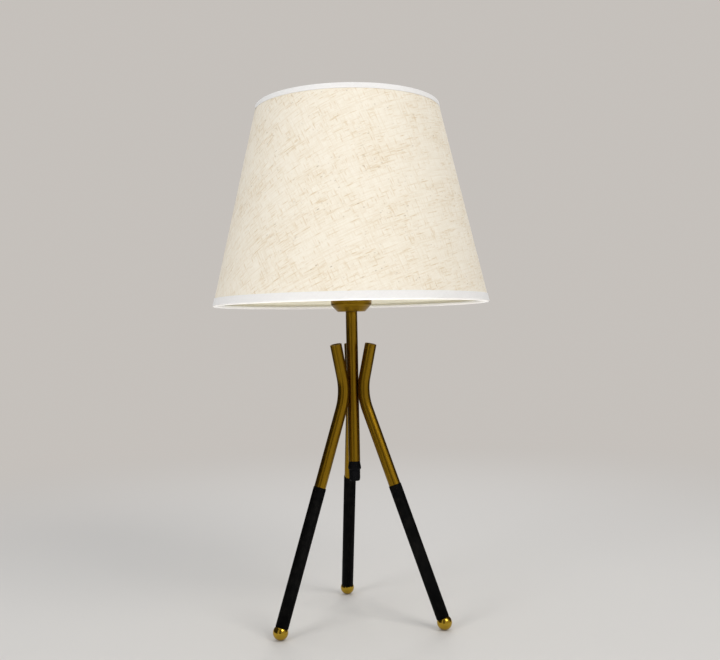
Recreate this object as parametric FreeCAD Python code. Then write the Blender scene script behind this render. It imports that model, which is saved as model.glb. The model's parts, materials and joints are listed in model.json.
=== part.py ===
"""Tripod table lamp: three bent brass tubes brazed round a central stem, ball feet,
leather sleeves, a screw lampholder in a spun cup, a screw-in bulb and a tapered fabric shade.

Frame: millimetres, +Z up. The origin is on the stem's axis, on the surface that the feet
stand on. One leg points to the back (+Y), the others to the front left and front right.
"""
import FreeCAD, Part
import math
import os

# ---------------------------------------------------------------- driving dimensions
# Stem and legs: half-inch brass tube
TUBE_D = 12.7
TUBE_WALL = 1.0
STEM_FOOT_Z = 174.5          # lower end of the stem tube
STEM_TOP_Z = 338.2           # upper end of the stem tube, which carries the cup
FOOT_CIRCLE_R = 99.4         # circle through the centres of the three ball feet
BALL_D = 16.0
THROAT_Z = 253.6             # height at which the bent legs touch the stem
LEG_BEND_R = 63.0            # centreline radius of each leg's bend
LEG_TOP_LEAN = 12.5          # degrees that the upper stretch leans outwards
LEG_TOP_Z = 302.8            # height of the centre of each open upper end
LEG_STEM_GAP = 0.05
LEG_AZIMUTHS = {"left": 210.0, "right": 330.0, "rear": 90.0}

# Ball feet, studs and the plugs in the tube ends
TUBE_SEAT = 5.0              # from the ball's centre to the flat that the tube stands on
PLUG_LENGTH = 14.0
STUD_D = 5.0
STUD_DEPTH_IN_BALL = 7.0
STUD_DEPTH_IN_PLUG = 10.0

# Leather sleeves
SLEEVE_TOP_Z = 150.6
SLEEVE_WALL = 0.45
SLEEVE_SEAM = 0.12           # width of the butt seam that faces the stem

# Braze beads between stem and legs
BEAD_LENGTH = 10.0
BEAD_NEAR = 1.0              # sideways distance of a bead's thin edge from the line of contact
BEAD_FAR = 2.6

# Stem bushes, hollow nipple, washer and nut
THREAD_D = 10.0
NIPPLE_BORE_D = 7.2
TOP_BUSH_LENGTH = 15.0
END_BUSH_LENGTH = 12.0
NIPPLE_IN_BUSH = 13.0
WASHER_D = 20.0
WASHER_T = 1.0
NUT_FLATS = 14.0
NUT_T = 3.0
NIPPLE_PROUD = 1.0           # nipple showing above its nut

# Cord gland
GLAND_TOP_D = 12.0
GLAND_D = 14.2               # widest part of the body's flared collar
GLAND_FLARE = 6.6            # height of the flare
GLAND_BAND = 1.6             # height of the widest band
GLAND_COLLAR = 9.6           # height of the whole collar
GLAND_SPIGOT = 7.0           # lower spigot that the nut goes on
GLAND_SPIGOT_D = 9.6
GLAND_SCREW = 9.5            # upper spigot in the stem's bush
GLAND_NUT_H = 11.8
GLAND_NUT_D = 12.2
GLAND_TIP_D = 11.2
GLAND_FLOOR = 2.2            # thickness of the nut's floor, which the cord's hole goes through
CORD_HOLE_D = 6.4
SEAL_BORE_D = 5.8            # grips the cord

# Cup under the lampholder
CUP_D = 44.6
CUP_FLOOR_D = 30.2
CUP_SHOULDER_H = 7.7
CUP_H = 24.4
CUP_WALL = 0.8
CUP_FLOOR_FILLET = 1.5
CUP_SHOULDER_FILLET = 2.5

# Lampholder for a 27 mm screw cap
CAP_D = 37.2                 # holder cap that hides in the cup
CAP_FLOOR_D = 23.0
CAP_FLOOR_T = 2.5
CAP_WALL = 1.8
CAP_SHOULDER_H = 8.0
CAP_H = 22.4
BLOCK_H = 9.0
BLOCK_LEDGE = 1.6
BLOCK_LEDGE_Z = 9.5          # above the cap's underside
COLLAR_H = 2.0               # raised rim of the terminal block
COLLAR_WALL = 2.3
CONTACT_T = 0.5
CONTACT_RISE = 5.0           # height of the spring contact's tongue above the block
CONTACT_W = 5.0
SCREW_X = 8.5                # terminal screws, from the axis
SCREW_D = 3.0
SCREW_HEAD_D = 5.2
SCREW_HEAD_H = 2.0
SCREW_LENGTH = 6.0
SHELL_WALL = 0.5
SHELL_FLANGE_W = 2.2
SHELL_FLANGE_T = 0.5
SHELL_H = 23.0
SKIRT_D = 39.2
SKIRT_WALL = 2.0
SKIRT_FLANGE_D = 44.0
SKIRT_FLANGE_T = 2.6
SKIRT_H = 24.8               # from the flange's underside to the mouth
SKIRT_SPIGOT_H = 1.5
SKIRT_WEB_T = 2.0
SKIRT_LIP_T = 1.5
SKIRT_LIP_D = 28.8
SKIRT_WEB_GAP = 0.2          # between the skirt's web and the screw shell

# Shade ring
RING_FLANGE_D = 57.0
RING_FLANGE_T = 2.0
RING_HUB_D = 45.0
RING_H = 8.0
RING_GRIPS = 12
RING_GRIP_D = 4.0

# Bulb with a 27 mm screw cap and a 60 mm globe
BULB_CAP_D = 26.2
BULB_CAP_WALL = 0.5
BULB_CAP_H = 22.6
BULB_CAP_CONE_H = 2.0
BULB_CAP_MOUTH_D = 22.2
BULB_TIP_D = 9.6
BULB_TIP_T = 0.8
BULB_INSULATOR_CONE_H = 2.0
BULB_D = 60.0
BULB_H = 106.0
BULB_NECK_D = 28.6
BULB_NECK_OVERLAP = 2.0      # neck reaching down outside the screw cap
BULB_RIM_Z = 68.0            # above the tip, where housing and dome meet
BULB_RIM_INSET = 0.6         # housing's rim inside the dome's widest radius
BULB_RIM_H = 8.0             # straight rim above the flare
BULB_WAIST_H = 5.0           # straight neck above the screw cap
BULB_WAIST_R = 14.0          # hollow curve from neck to flare
BULB_SHOULDER_R = 20.0       # round curve from flare to rim
BULB_WALL = 1.2
BOARD_D = 50.0
BOARD_T = 1.6
BOARD_LEDGE = 2.0
BOARD_DROP = 4.0             # board's underside below the housing's rim

# Shade: 30 cm below, 20 cm above, 22 cm along the slope
SHADE_BOTTOM_D = 300.0
SHADE_TOP_D = 200.0
SHADE_SLANT = 221.7
SHADE_BOTTOM_Z = 346.0
COVER_T = 0.45
LINER_T = 0.6
WIRE_D = 3.0
RING_INSET = 1.6             # height of a wire ring's centre inside the shade's edge
TAPE_T = 0.5
TAPE_GAP = 0.05
BOTTOM_TAPE_H = 8.4
TOP_TAPE_H = 5.4
BOTTOM_TAPE_LIP = 0.2         # height inside the wire ring, under the spider arms
TOP_TAPE_LIP = 3.0
ARM_BEND_FROM_RING = 10.0    # level start of each arm beyond the fitter's edge
ARM_BEND_R = 30.0
FITTER_D = 58.0
FITTER_T = 1.5
ARM_OVERLAP = 5.0            # length of arm lying under the fitter
ARM_AZIMUTHS = {"left": 210.0, "right": 330.0, "rear": 90.0}

BEVEL = 0.6                  # on turned outer edges

# Clearances
PRESS = 0.02                 # fixed pieces, per side
SCREWED = 0.03               # screwed pieces drawn plain, per side
RUNNING = 0.08               # pieces that turn or slide on each other, per side
SEATED = 0.05                # between faces that rest or turn on each other
TIP_GAP = 0.2                # between the bulb's tip and the spring contact

# ---------------------------------------------------------------- derived places
TUBE_R = TUBE_D / 2
TUBE_BORE_R = TUBE_R - TUBE_WALL
BALL_R = BALL_D / 2
THREAD_R = THREAD_D / 2
SLEEVE_BORE_R = TUBE_R + SEATED
SLEEVE_SEAT = math.sqrt(BALL_R ** 2 - SLEEVE_BORE_R ** 2) + PRESS   # above the ball's centre

CUP_TOP_Z = STEM_TOP_Z + CUP_H
CAP_Z = STEM_TOP_Z + CUP_WALL + WASHER_T
CAP_TOP_Z = CAP_Z + CAP_H
BLOCK_Z = CAP_Z + BLOCK_LEDGE_Z
BLOCK_TOP_Z = BLOCK_Z + BLOCK_H
SHELL_Z = BLOCK_TOP_Z + COLLAR_H
FLANGE_Z = CUP_TOP_Z
FLANGE_TOP_Z = FLANGE_Z + SKIRT_FLANGE_T
SKIRT_TOP_Z = FLANGE_Z + SKIRT_H
FITTER_Z = FLANGE_TOP_Z + SEATED
FITTER_TOP_Z = FITTER_Z + FITTER_T
RING_Z = FITTER_TOP_Z + SEATED

BULB_CAP_R = BULB_CAP_D / 2
SHELL_BORE_R = BULB_CAP_R + RUNNING
SHELL_R = SHELL_BORE_R + SHELL_WALL
BULB_TIP_Z = BLOCK_TOP_Z + CONTACT_RISE + TIP_GAP

SHADE_BOTTOM_R = SHADE_BOTTOM_D / 2
SHADE_TOP_R = SHADE_TOP_D / 2
SHADE_H = math.sqrt(SHADE_SLANT ** 2 - (SHADE_BOTTOM_R - SHADE_TOP_R) ** 2)
SHADE_TOP_Z = SHADE_BOTTOM_Z + SHADE_H
SHADE_TAPER = (SHADE_BOTTOM_R - SHADE_TOP_R) / SHADE_H
WALL_FACTOR = math.sqrt(1 + SHADE_TAPER ** 2)   # level thickness of a sloped wall


# ---------------------------------------------------------------- helpers
def point(r, z):
    return FreeCAD.Vector(r, 0, z)


def outline(corners):
    """Closed wire in the XZ plane through (r, z, fillet) corners, with tangent arcs."""
    count = len(corners)
    edges = []
    previous_end = None
    first_start = None
    for i in range(count):
        here = point(corners[i][0], corners[i][1])
        fillet = corners[i][2] if len(corners[i]) > 2 else 0
        if fillet:
            before = point(*corners[i - 1][:2])
            after = point(*corners[(i + 1) % count][:2])
            to_before = (before - here).normalize()
            to_after = (after - here).normalize()
            half = to_before.getAngle(to_after) / 2
            back = fillet / math.tan(half)
            start = here + to_before * back
            end = here + to_after * back
            middle_way = (to_before + to_after).normalize()
            middle = here + middle_way * (fillet / math.sin(half) - fillet)
            arc = Part.Arc(start, middle, end).toShape()
        else:
            start = here
            end = here
            arc = None
        if previous_end is None:
            first_start = start
        else:
            edges.append(Part.LineSegment(previous_end, start).toShape())
        if arc:
            edges.append(arc)
        previous_end = end
    edges.append(Part.LineSegment(previous_end, first_start).toShape())
    return Part.Wire(edges)


def turned(corners):
    """Solid of revolution about Z of an outline."""
    face = Part.Face(outline(corners))
    return face.revolve(FreeCAD.Vector(0, 0, 0), FreeCAD.Vector(0, 0, 1), 360)


def tube(outer_r, inner_r, low, high):
    return turned([(inner_r, low), (outer_r, low), (outer_r, high), (inner_r, high)])


def rod(radius, start, way, length):
    return Part.makeCylinder(radius, length, start, way)


def about_z(shape, degrees):
    copy = shape.copy()
    copy.rotate(FreeCAD.Vector(0, 0, 0), FreeCAD.Vector(0, 0, 1), degrees)
    return copy


def one_solid(shape):
    """A boolean's result as its single solid."""
    cleaned = shape.removeSplitter()
    if len(cleaned.Solids) != 1:
        raise ValueError("expected one solid, got %d" % len(cleaned.Solids))
    return cleaned.Solids[0]


def export(name, shape):
    shape.exportStep("parts/" + name + ".step")


# ---------------------------------------------------------------- leg geometry
class LegLine:
    """Centreline of one leg in the XZ plane: straight, one bend, straight."""

    def __init__(self):
        reach = 2 * TUBE_R + LEG_STEM_GAP + LEG_BEND_R
        self.foot = point(FOOT_CIRCLE_R, BALL_R)
        self.centre = point(reach, THROAT_Z)
        to_foot = self.foot - self.centre
        slope_angle = math.atan2(to_foot.z, to_foot.x)
        slope_angle -= math.acos(LEG_BEND_R / to_foot.Length)
        self.low_bend = self.centre + point(math.cos(slope_angle), math.sin(slope_angle)) * LEG_BEND_R
        lean = math.radians(LEG_TOP_LEAN)
        self.high_bend = self.centre + point(-math.cos(lean), math.sin(lean)) * LEG_BEND_R
        self.up_leg = (self.low_bend - self.foot).normalize()
        self.out_top = point(math.sin(lean), math.cos(lean))
        self.top_length = (LEG_TOP_Z - self.high_bend.z) / self.out_top.z
        self.bend_degrees = math.degrees(slope_angle + math.pi) + LEG_TOP_LEAN

    def along(self, distance):
        """Point of the lower stretch at a distance above the ball's centre."""
        return self.foot + self.up_leg * distance

    def distance_at(self, height):
        return (height - self.foot.z) / self.up_leg.z


LEG = LegLine()


def bent_tube(radius):
    """Solid round bar along a leg's centreline, from its seat on the ball to its top."""
    start = LEG.along(TUBE_SEAT)
    length = (LEG.low_bend - start).Length
    lower = rod(radius, start, LEG.up_leg, length)
    section = Part.Face(Part.Wire(Part.makeCircle(radius, LEG.low_bend, LEG.up_leg)))
    bend = section.revolve(LEG.centre, FreeCAD.Vector(0, 1, 0), LEG.bend_degrees)
    upper = rod(radius, LEG.high_bend, LEG.out_top, LEG.top_length)
    return one_solid(lower.fuse([bend, upper]))


def leg_tube():
    return one_solid(bent_tube(TUBE_R).cut(bent_tube(TUBE_BORE_R)))


def foot_ball():
    ball = Part.makeSphere(BALL_R, LEG.foot)
    above = rod(BALL_R * 2, LEG.along(TUBE_SEAT), LEG.up_leg, BALL_R * 2)
    hole_start = LEG.along(TUBE_SEAT - STUD_DEPTH_IN_BALL)
    hole = rod(STUD_D / 2 + SCREWED, hole_start, LEG.up_leg, STUD_DEPTH_IN_BALL + BALL_R)
    return one_solid(ball.cut([above, hole]))


def foot_stud():
    start = LEG.along(TUBE_SEAT - STUD_DEPTH_IN_BALL + SEATED)
    length = STUD_DEPTH_IN_BALL + STUD_DEPTH_IN_PLUG - 2 * SEATED
    return rod(STUD_D / 2, start, LEG.up_leg, length)


def leg_end_plug():
    body = rod(TUBE_BORE_R - PRESS, LEG.along(TUBE_SEAT), LEG.up_leg, PLUG_LENGTH)
    hole_start = LEG.along(TUBE_SEAT)
    hole = rod(STUD_D / 2 + SCREWED, hole_start, LEG.up_leg, STUD_DEPTH_IN_PLUG)
    return one_solid(body.cut(hole))


def leather_sleeve():
    start = LEG.along(SLEEVE_SEAT)
    length = LEG.distance_at(SLEEVE_TOP_Z) - SLEEVE_SEAT
    outer_r = SLEEVE_BORE_R + SLEEVE_WALL
    wrap = rod(outer_r, start, LEG.up_leg, length)
    wrap = wrap.cut(rod(SLEEVE_BORE_R, start, LEG.up_leg, length))
    seam = Part.makeBox(outer_r * 2, SLEEVE_SEAM, length + 2 * BALL_R)
    seam.translate(FreeCAD.Vector(-outer_r * 2, -SLEEVE_SEAM / 2, -BALL_R))
    lean = math.degrees(math.atan2(LEG.up_leg.x, LEG.up_leg.z))
    seam.rotate(FreeCAD.Vector(0, 0, 0), FreeCAD.Vector(0, 1, 0), lean)
    seam.translate(start)
    return one_solid(wrap.cut(seam))


def braze_bead():
    """Filler in the groove on one side of the line where a leg touches the stem."""
    reach = 2 * TUBE_R + LEG_STEM_GAP
    block = Part.makeBox(reach, BEAD_FAR - BEAD_NEAR, BEAD_LENGTH)
    block.translate(FreeCAD.Vector(0, BEAD_NEAR, THROAT_Z - BEAD_LENGTH / 2))
    stem = Part.makeCylinder(TUBE_R, STEM_TOP_Z)
    bead = block.cut([stem, bent_tube(TUBE_R)])
    middle_r = TUBE_R + LEG_STEM_GAP / 2
    kept = [solid for solid in bead.Solids if abs(solid.CenterOfMass.x - middle_r) < TUBE_R / 2]
    if len(kept) != 1:
        raise ValueError("the groove holds %d pieces" % len(kept))
    return kept[0]


def braze_beads():
    left = braze_bead()
    right = left.mirror(FreeCAD.Vector(0, 0, 0), FreeCAD.Vector(0, 1, 0))
    return Part.makeCompound([about_z(side, azimuth)
                              for azimuth in LEG_AZIMUTHS.values()
                              for side in (left, right)])


def make_tripod():
    export("stem_tube", tube(TUBE_R, TUBE_BORE_R, STEM_FOOT_Z, STEM_TOP_Z))
    leg = leg_tube()
    ball = foot_ball()
    sleeve = leather_sleeve()
    for side, azimuth in LEG_AZIMUTHS.items():
        export("leg_tube_" + side, about_z(leg, azimuth))
        export("foot_ball_" + side, about_z(ball, azimuth))
        export("leather_sleeve_" + side, about_z(sleeve, azimuth))
    for name, shape in (("foot_studs", foot_stud()), ("leg_end_plugs", leg_end_plug())):
        copies = [about_z(shape, azimuth) for azimuth in LEG_AZIMUTHS.values()]
        export(name, Part.makeCompound(copies))
    export("braze_beads", braze_beads())


# ---------------------------------------------------------------- stem ends and gland
def hex_nut(flats, height, bore_r, low):
    corner_r = flats / math.sqrt(3)
    corners = [FreeCAD.Vector(corner_r * math.cos(math.radians(60 * i)),
                              corner_r * math.sin(math.radians(60 * i)), low) for i in range(7)]
    nut = Part.Face(Part.makePolygon(corners)).extrude(FreeCAD.Vector(0, 0, height))
    return one_solid(nut.cut(Part.makeCylinder(bore_r, height, FreeCAD.Vector(0, 0, low))))


def make_stem_ends():
    bush_r = TUBE_BORE_R - PRESS
    thread_hole_r = THREAD_R + SCREWED
    export("stem_top_bush", tube(bush_r, thread_hole_r, STEM_TOP_Z - TOP_BUSH_LENGTH, STEM_TOP_Z))
    export("stem_end_bush", tube(bush_r, thread_hole_r, STEM_FOOT_Z, STEM_FOOT_Z + END_BUSH_LENGTH))
    nut_z = CAP_Z + CAP_FLOOR_T
    nipple_top = nut_z + NUT_T + NIPPLE_PROUD
    export("nipple", tube(THREAD_R, NIPPLE_BORE_D / 2, STEM_TOP_Z - NIPPLE_IN_BUSH, nipple_top))
    export("cup_washer", tube(WASHER_D / 2, thread_hole_r, STEM_TOP_Z + CUP_WALL, CAP_Z))
    export("nipple_nut", hex_nut(NUT_FLATS, NUT_T, thread_hole_r, nut_z))


GLAND_COLLAR_Z = STEM_FOOT_Z - GLAND_COLLAR
GLAND_NUT_TOP_Z = GLAND_COLLAR_Z - SEATED
GLAND_NUT_Z = GLAND_NUT_TOP_Z - GLAND_NUT_H


def gland_body():
    bore_r = NIPPLE_BORE_D / 2
    spigot_low = GLAND_COLLAR_Z - GLAND_SPIGOT
    band_top = STEM_FOOT_Z - GLAND_FLARE
    return turned([
        (bore_r, STEM_FOOT_Z + GLAND_SCREW),
        (bore_r, spigot_low),
        (GLAND_SPIGOT_D / 2, spigot_low),
        (GLAND_SPIGOT_D / 2, GLAND_COLLAR_Z),
        (GLAND_NUT_D / 2, GLAND_COLLAR_Z),
        (GLAND_D / 2, band_top - GLAND_BAND),
        (GLAND_D / 2, band_top),
        (GLAND_TOP_D / 2, STEM_FOOT_Z),
        (THREAD_R, STEM_FOOT_Z),
        (THREAD_R, STEM_FOOT_Z + GLAND_SCREW),
    ])


def gland_nut():
    inner_r = GLAND_SPIGOT_D / 2 + SCREWED
    return turned([
        (CORD_HOLE_D / 2, GLAND_NUT_Z),
        (GLAND_TIP_D / 2 - BEVEL, GLAND_NUT_Z),
        (GLAND_TIP_D / 2, GLAND_NUT_Z + BEVEL),
        (GLAND_NUT_D / 2, GLAND_NUT_TOP_Z),
        (inner_r, GLAND_NUT_TOP_Z),
        (inner_r, GLAND_NUT_Z + GLAND_FLOOR),
        (CORD_HOLE_D / 2, GLAND_NUT_Z + GLAND_FLOOR),
    ])


def make_gland():
    export("gland_body", gland_body())
    export("gland_nut", gland_nut())
    low = GLAND_NUT_Z + GLAND_FLOOR + SEATED
    high = GLAND_COLLAR_Z - GLAND_SPIGOT - SEATED
    export("gland_seal", tube(GLAND_SPIGOT_D / 2 - SEATED, SEAL_BORE_D / 2, low, high))


# ---------------------------------------------------------------- cup and lampholder
def cup():
    outer_r = CUP_D / 2
    floor_r = CUP_FLOOR_D / 2
    shoulder_z = STEM_TOP_Z + CUP_SHOULDER_H
    inner_r = outer_r - CUP_WALL
    return turned([
        (THREAD_R + SCREWED, STEM_TOP_Z),
        (floor_r, STEM_TOP_Z, CUP_FLOOR_FILLET),
        (outer_r, shoulder_z, CUP_SHOULDER_FILLET),
        (outer_r, CUP_TOP_Z),
        (inner_r, CUP_TOP_Z),
        (inner_r, shoulder_z + CUP_WALL / 2, CUP_SHOULDER_FILLET - CUP_WALL),
        (floor_r - CUP_WALL / 2, STEM_TOP_Z + CUP_WALL),
        (THREAD_R + SCREWED, STEM_TOP_Z + CUP_WALL),
    ])


def holder_cap():
    outer_r = CAP_D / 2
    inner_r = outer_r - CAP_WALL
    ledge_r = inner_r - BLOCK_LEDGE
    shoulder_z = CAP_Z + CAP_SHOULDER_H
    floor_top = CAP_Z + CAP_FLOOR_T
    return turned([
        (THREAD_R + SCREWED, CAP_Z),
        (CAP_FLOOR_D / 2, CAP_Z),
        (outer_r, shoulder_z),
        (outer_r, CAP_TOP_Z),
        (inner_r, CAP_TOP_Z),
        (inner_r, BLOCK_Z),
        (ledge_r, BLOCK_Z),
        (ledge_r, shoulder_z),
        (CAP_FLOOR_D / 2 - CAP_WALL / 2, floor_top),
        (THREAD_R + SCREWED, floor_top),
    ])


def terminal_block():
    outer_r = CAP_D / 2 - CAP_WALL - SEATED
    block = turned([
        (0, BLOCK_Z),
        (outer_r, BLOCK_Z),
        (outer_r, SHELL_Z),
        (outer_r - COLLAR_WALL, SHELL_Z),
        (outer_r - COLLAR_WALL, BLOCK_TOP_Z),
        (0, BLOCK_TOP_Z),
    ])
    holes = [rod(SCREW_D / 2 + SCREWED, FreeCAD.Vector(x, 0, BLOCK_Z), FreeCAD.Vector(0, 0, 1), BLOCK_H)
             for x in (-SCREW_X, SCREW_X)]
    wire_ways = [rod(SCREW_D / 2, FreeCAD.Vector(0, y, BLOCK_Z), FreeCAD.Vector(0, 0, 1), BLOCK_H)
                 for y in (-SCREW_X, SCREW_X)]
    return one_solid(block.cut(holes + wire_ways))


def strip(path, width):
    """Bent strip of contact metal: an XZ polygon extruded across Y."""
    face = Part.Face(Part.makePolygon([point(*p) for p in path + path[:1]]))
    solid = face.extrude(FreeCAD.Vector(0, width, 0))
    solid.translate(FreeCAD.Vector(0, -width / 2, 0))
    return solid


def contact_hole(x):
    return rod(SCREW_D / 2 + SCREWED, FreeCAD.Vector(x, 0, BLOCK_TOP_Z), FreeCAD.Vector(0, 0, 1), CONTACT_T)


def centre_contact():
    """Spring tongue: screwed down at +X, rising to the bulb's tip on the axis."""
    low = BLOCK_TOP_Z
    high = BLOCK_TOP_Z + CONTACT_RISE
    foot_x = SCREW_X - SCREW_HEAD_D / 2
    bend_x = foot_x - CONTACT_T
    tip_x = -CONTACT_W / 2
    tongue = strip([
        (SCREW_X + CONTACT_W / 2, low),
        (SCREW_X + CONTACT_W / 2, low + CONTACT_T),
        (foot_x, low + CONTACT_T),
        (-tip_x, high),
        (tip_x, high),
        (tip_x, high - CONTACT_T),
        (-tip_x - CONTACT_T, high - CONTACT_T),
        (bend_x, low),
    ], CONTACT_W)
    return one_solid(tongue.cut(contact_hole(SCREW_X)))


def shell_contact():
    """Strip screwed down at -X, turned up to touch the screw shell's flange."""
    wall_r = CAP_D / 2 - CAP_WALL - SEATED - COLLAR_WALL
    low = BLOCK_TOP_Z
    outer_x = SEATED - math.sqrt(wall_r ** 2 - (CONTACT_W / 2) ** 2)
    top = SHELL_Z
    tab = strip([
        (outer_x, low),
        (outer_x, top),
        (outer_x + CONTACT_T, top),
        (outer_x + CONTACT_T, low + CONTACT_T),
        (-SCREW_X + CONTACT_W / 2, low + CONTACT_T),
        (-SCREW_X + CONTACT_W / 2, low),
    ], CONTACT_W)
    return one_solid(tab.cut(contact_hole(-SCREW_X)))


def terminal_screw(x):
    head_z = BLOCK_TOP_Z + CONTACT_T
    up = FreeCAD.Vector(0, 0, 1)
    shank = rod(SCREW_D / 2, FreeCAD.Vector(x, 0, head_z - SCREW_LENGTH), up, SCREW_LENGTH)
    head = rod(SCREW_HEAD_D / 2, FreeCAD.Vector(x, 0, head_z), up, SCREW_HEAD_H)
    slot = Part.makeBox(SCREW_HEAD_D, SCREW_D / 4, SCREW_HEAD_H / 2)
    slot.translate(FreeCAD.Vector(x - SCREW_HEAD_D / 2, -SCREW_D / 8, head_z + SCREW_HEAD_H / 2))
    return one_solid(shank.fuse(head).cut(slot))


def screw_shell():
    flange_top = SHELL_Z + SHELL_FLANGE_T
    return turned([
        (SHELL_BORE_R, SHELL_Z),
        (SHELL_R + SHELL_FLANGE_W, SHELL_Z),
        (SHELL_R + SHELL_FLANGE_W, flange_top),
        (SHELL_R, flange_top),
        (SHELL_R, SHELL_Z + SHELL_H),
        (SHELL_BORE_R, SHELL_Z + SHELL_H),
    ])


def holder_skirt():
    outer_r = SKIRT_D / 2
    spigot_r = CAP_D / 2 - CAP_WALL - SEATED
    bore_r = outer_r - SKIRT_WALL
    low = FLANGE_Z - SKIRT_SPIGOT_H
    web_top = low + SKIRT_WEB_T
    web_r = SHELL_R + SKIRT_WEB_GAP
    lip_low = SKIRT_TOP_Z - SKIRT_LIP_T
    return turned([
        (web_r, low),
        (spigot_r, low),
        (spigot_r, FLANGE_Z),
        (SKIRT_FLANGE_D / 2, FLANGE_Z),
        (SKIRT_FLANGE_D / 2, FLANGE_TOP_Z - BEVEL),
        (SKIRT_FLANGE_D / 2 - BEVEL, FLANGE_TOP_Z),
        (outer_r, FLANGE_TOP_Z),
        (outer_r, SKIRT_TOP_Z - BEVEL),
        (outer_r - BEVEL, SKIRT_TOP_Z),
        (SKIRT_LIP_D / 2, SKIRT_TOP_Z),
        (SKIRT_LIP_D / 2, lip_low),
        (bore_r, lip_low),
        (bore_r, web_top),
        (web_r, web_top),
    ])


def shade_ring():
    """Threaded collar that clamps the shade: flange below, gripped hub above."""
    bore_r = SKIRT_D / 2 + RUNNING
    hub_r = RING_HUB_D / 2
    flange_top = RING_Z + RING_FLANGE_T
    top = RING_Z + RING_H
    ring = turned([
        (bore_r, RING_Z),
        (RING_FLANGE_D / 2, RING_Z),
        (RING_FLANGE_D / 2, flange_top - BEVEL),
        (RING_FLANGE_D / 2 - BEVEL, flange_top),
        (hub_r, flange_top),
        (hub_r, top - BEVEL),
        (hub_r - BEVEL, top),
        (bore_r, top),
    ])
    grips = []
    for i in range(RING_GRIPS):
        turn = math.radians(360 * i / RING_GRIPS)
        reach = hub_r + RING_GRIP_D / 4
        place = FreeCAD.Vector(reach * math.cos(turn), reach * math.sin(turn), flange_top)
        grips.append(rod(RING_GRIP_D / 2, place, FreeCAD.Vector(0, 0, 1), RING_H))
    return one_solid(ring.cut(grips))


def make_lampholder():
    export("cup", cup())
    export("holder_cap", holder_cap())
    export("terminal_block", terminal_block())
    export("centre_contact", centre_contact())
    export("shell_contact", shell_contact())
    export("terminal_screws", Part.makeCompound([terminal_screw(-SCREW_X), terminal_screw(SCREW_X)]))
    export("screw_shell", screw_shell())
    export("holder_skirt", holder_skirt())
    export("shade_ring", shade_ring())


# ---------------------------------------------------------------- bulb
def bulb_levels():
    """Heights that the bulb's pieces share."""
    tip_top = BULB_TIP_Z + BULB_TIP_T
    mouth_z = tip_top + SEATED + BULB_INSULATOR_CONE_H
    cap_top = mouth_z + BULB_CAP_H
    rim_z = BULB_TIP_Z + BULB_RIM_Z
    return tip_top, mouth_z, cap_top, rim_z


def bulb_housing():
    tip_top, mouth_z, cap_top, rim_z = bulb_levels()
    neck_r = BULB_NECK_D / 2
    rim_r = BULB_D / 2 - BULB_RIM_INSET
    low = cap_top - BULB_NECK_OVERLAP
    waist_z = cap_top + BULB_WAIST_H
    ledge_z = rim_z - BOARD_DROP
    return turned([
        (BULB_CAP_R + PRESS, low),
        (neck_r, low),
        (neck_r, waist_z, BULB_WAIST_R),
        (rim_r, rim_z - BULB_RIM_H, BULB_SHOULDER_R),
        (rim_r, rim_z),
        (rim_r - BULB_WALL, rim_z),
        (rim_r - BULB_WALL, ledge_z),
        (BOARD_D / 2 - BOARD_LEDGE, ledge_z),
        (BOARD_D / 2 - BOARD_LEDGE, ledge_z - BULB_WALL),
        (neck_r - BULB_WALL, waist_z + BULB_WALL),
        (neck_r - BULB_WALL, cap_top + PRESS),
        (BULB_CAP_R + PRESS, cap_top + PRESS),
    ])


def bulb_diffuser():
    """Frosted dome: a globe cut off at the housing's rim, hollow inside."""
    rim_z = bulb_levels()[3] + PRESS
    globe_r = BULB_D / 2
    centre_z = BULB_TIP_Z + BULB_H - globe_r
    inner_r = globe_r - BULB_WALL
    drop = centre_z - rim_z
    outer_rim = math.sqrt(globe_r ** 2 - drop ** 2)
    inner_rim = math.sqrt(inner_r ** 2 - drop ** 2)
    edges = [
        Part.Arc(point(outer_rim, rim_z), point(globe_r, centre_z), point(0, centre_z + globe_r)).toShape(),
        Part.makeLine(point(0, centre_z + globe_r), point(0, centre_z + inner_r)),
        Part.Arc(point(0, centre_z + inner_r), point(inner_r, centre_z), point(inner_rim, rim_z)).toShape(),
        Part.makeLine(point(inner_rim, rim_z), point(outer_rim, rim_z)),
    ]
    face = Part.Face(Part.Wire(edges))
    return face.revolve(FreeCAD.Vector(0, 0, 0), FreeCAD.Vector(0, 0, 1), 360)


def make_bulb():
    tip_top, mouth_z, cap_top, rim_z = bulb_levels()
    mouth_r = BULB_CAP_MOUTH_D / 2
    tip_r = BULB_TIP_D / 2
    export("bulb_tip_contact", turned([
        (0, BULB_TIP_Z),
        (tip_r - BULB_TIP_T / 2, BULB_TIP_Z),
        (tip_r, BULB_TIP_Z + BULB_TIP_T / 2),
        (tip_r, tip_top),
        (0, tip_top),
    ]))
    export("bulb_tip_insulator", turned([
        (0, tip_top + PRESS),
        (tip_r, tip_top + PRESS),
        (mouth_r - RUNNING, mouth_z),
        (mouth_r - RUNNING, mouth_z + BULB_CAP_WALL),
        (0, mouth_z + BULB_CAP_WALL),
    ]))
    cone_top = mouth_z + BULB_CAP_CONE_H
    export("bulb_screw_cap", turned([
        (mouth_r, mouth_z),
        (BULB_CAP_R, cone_top),
        (BULB_CAP_R, cap_top),
        (BULB_CAP_R - BULB_CAP_WALL, cap_top),
        (BULB_CAP_R - BULB_CAP_WALL, cone_top + BULB_CAP_WALL / 2),
        (mouth_r, mouth_z + BULB_CAP_WALL),
    ]))
    export("bulb_housing", bulb_housing())
    board_z = rim_z - BOARD_DROP
    export("bulb_led_board", tube(BOARD_D / 2, SCREW_D / 2, board_z, board_z + BOARD_T))
    export("bulb_diffuser", bulb_diffuser())


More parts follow.
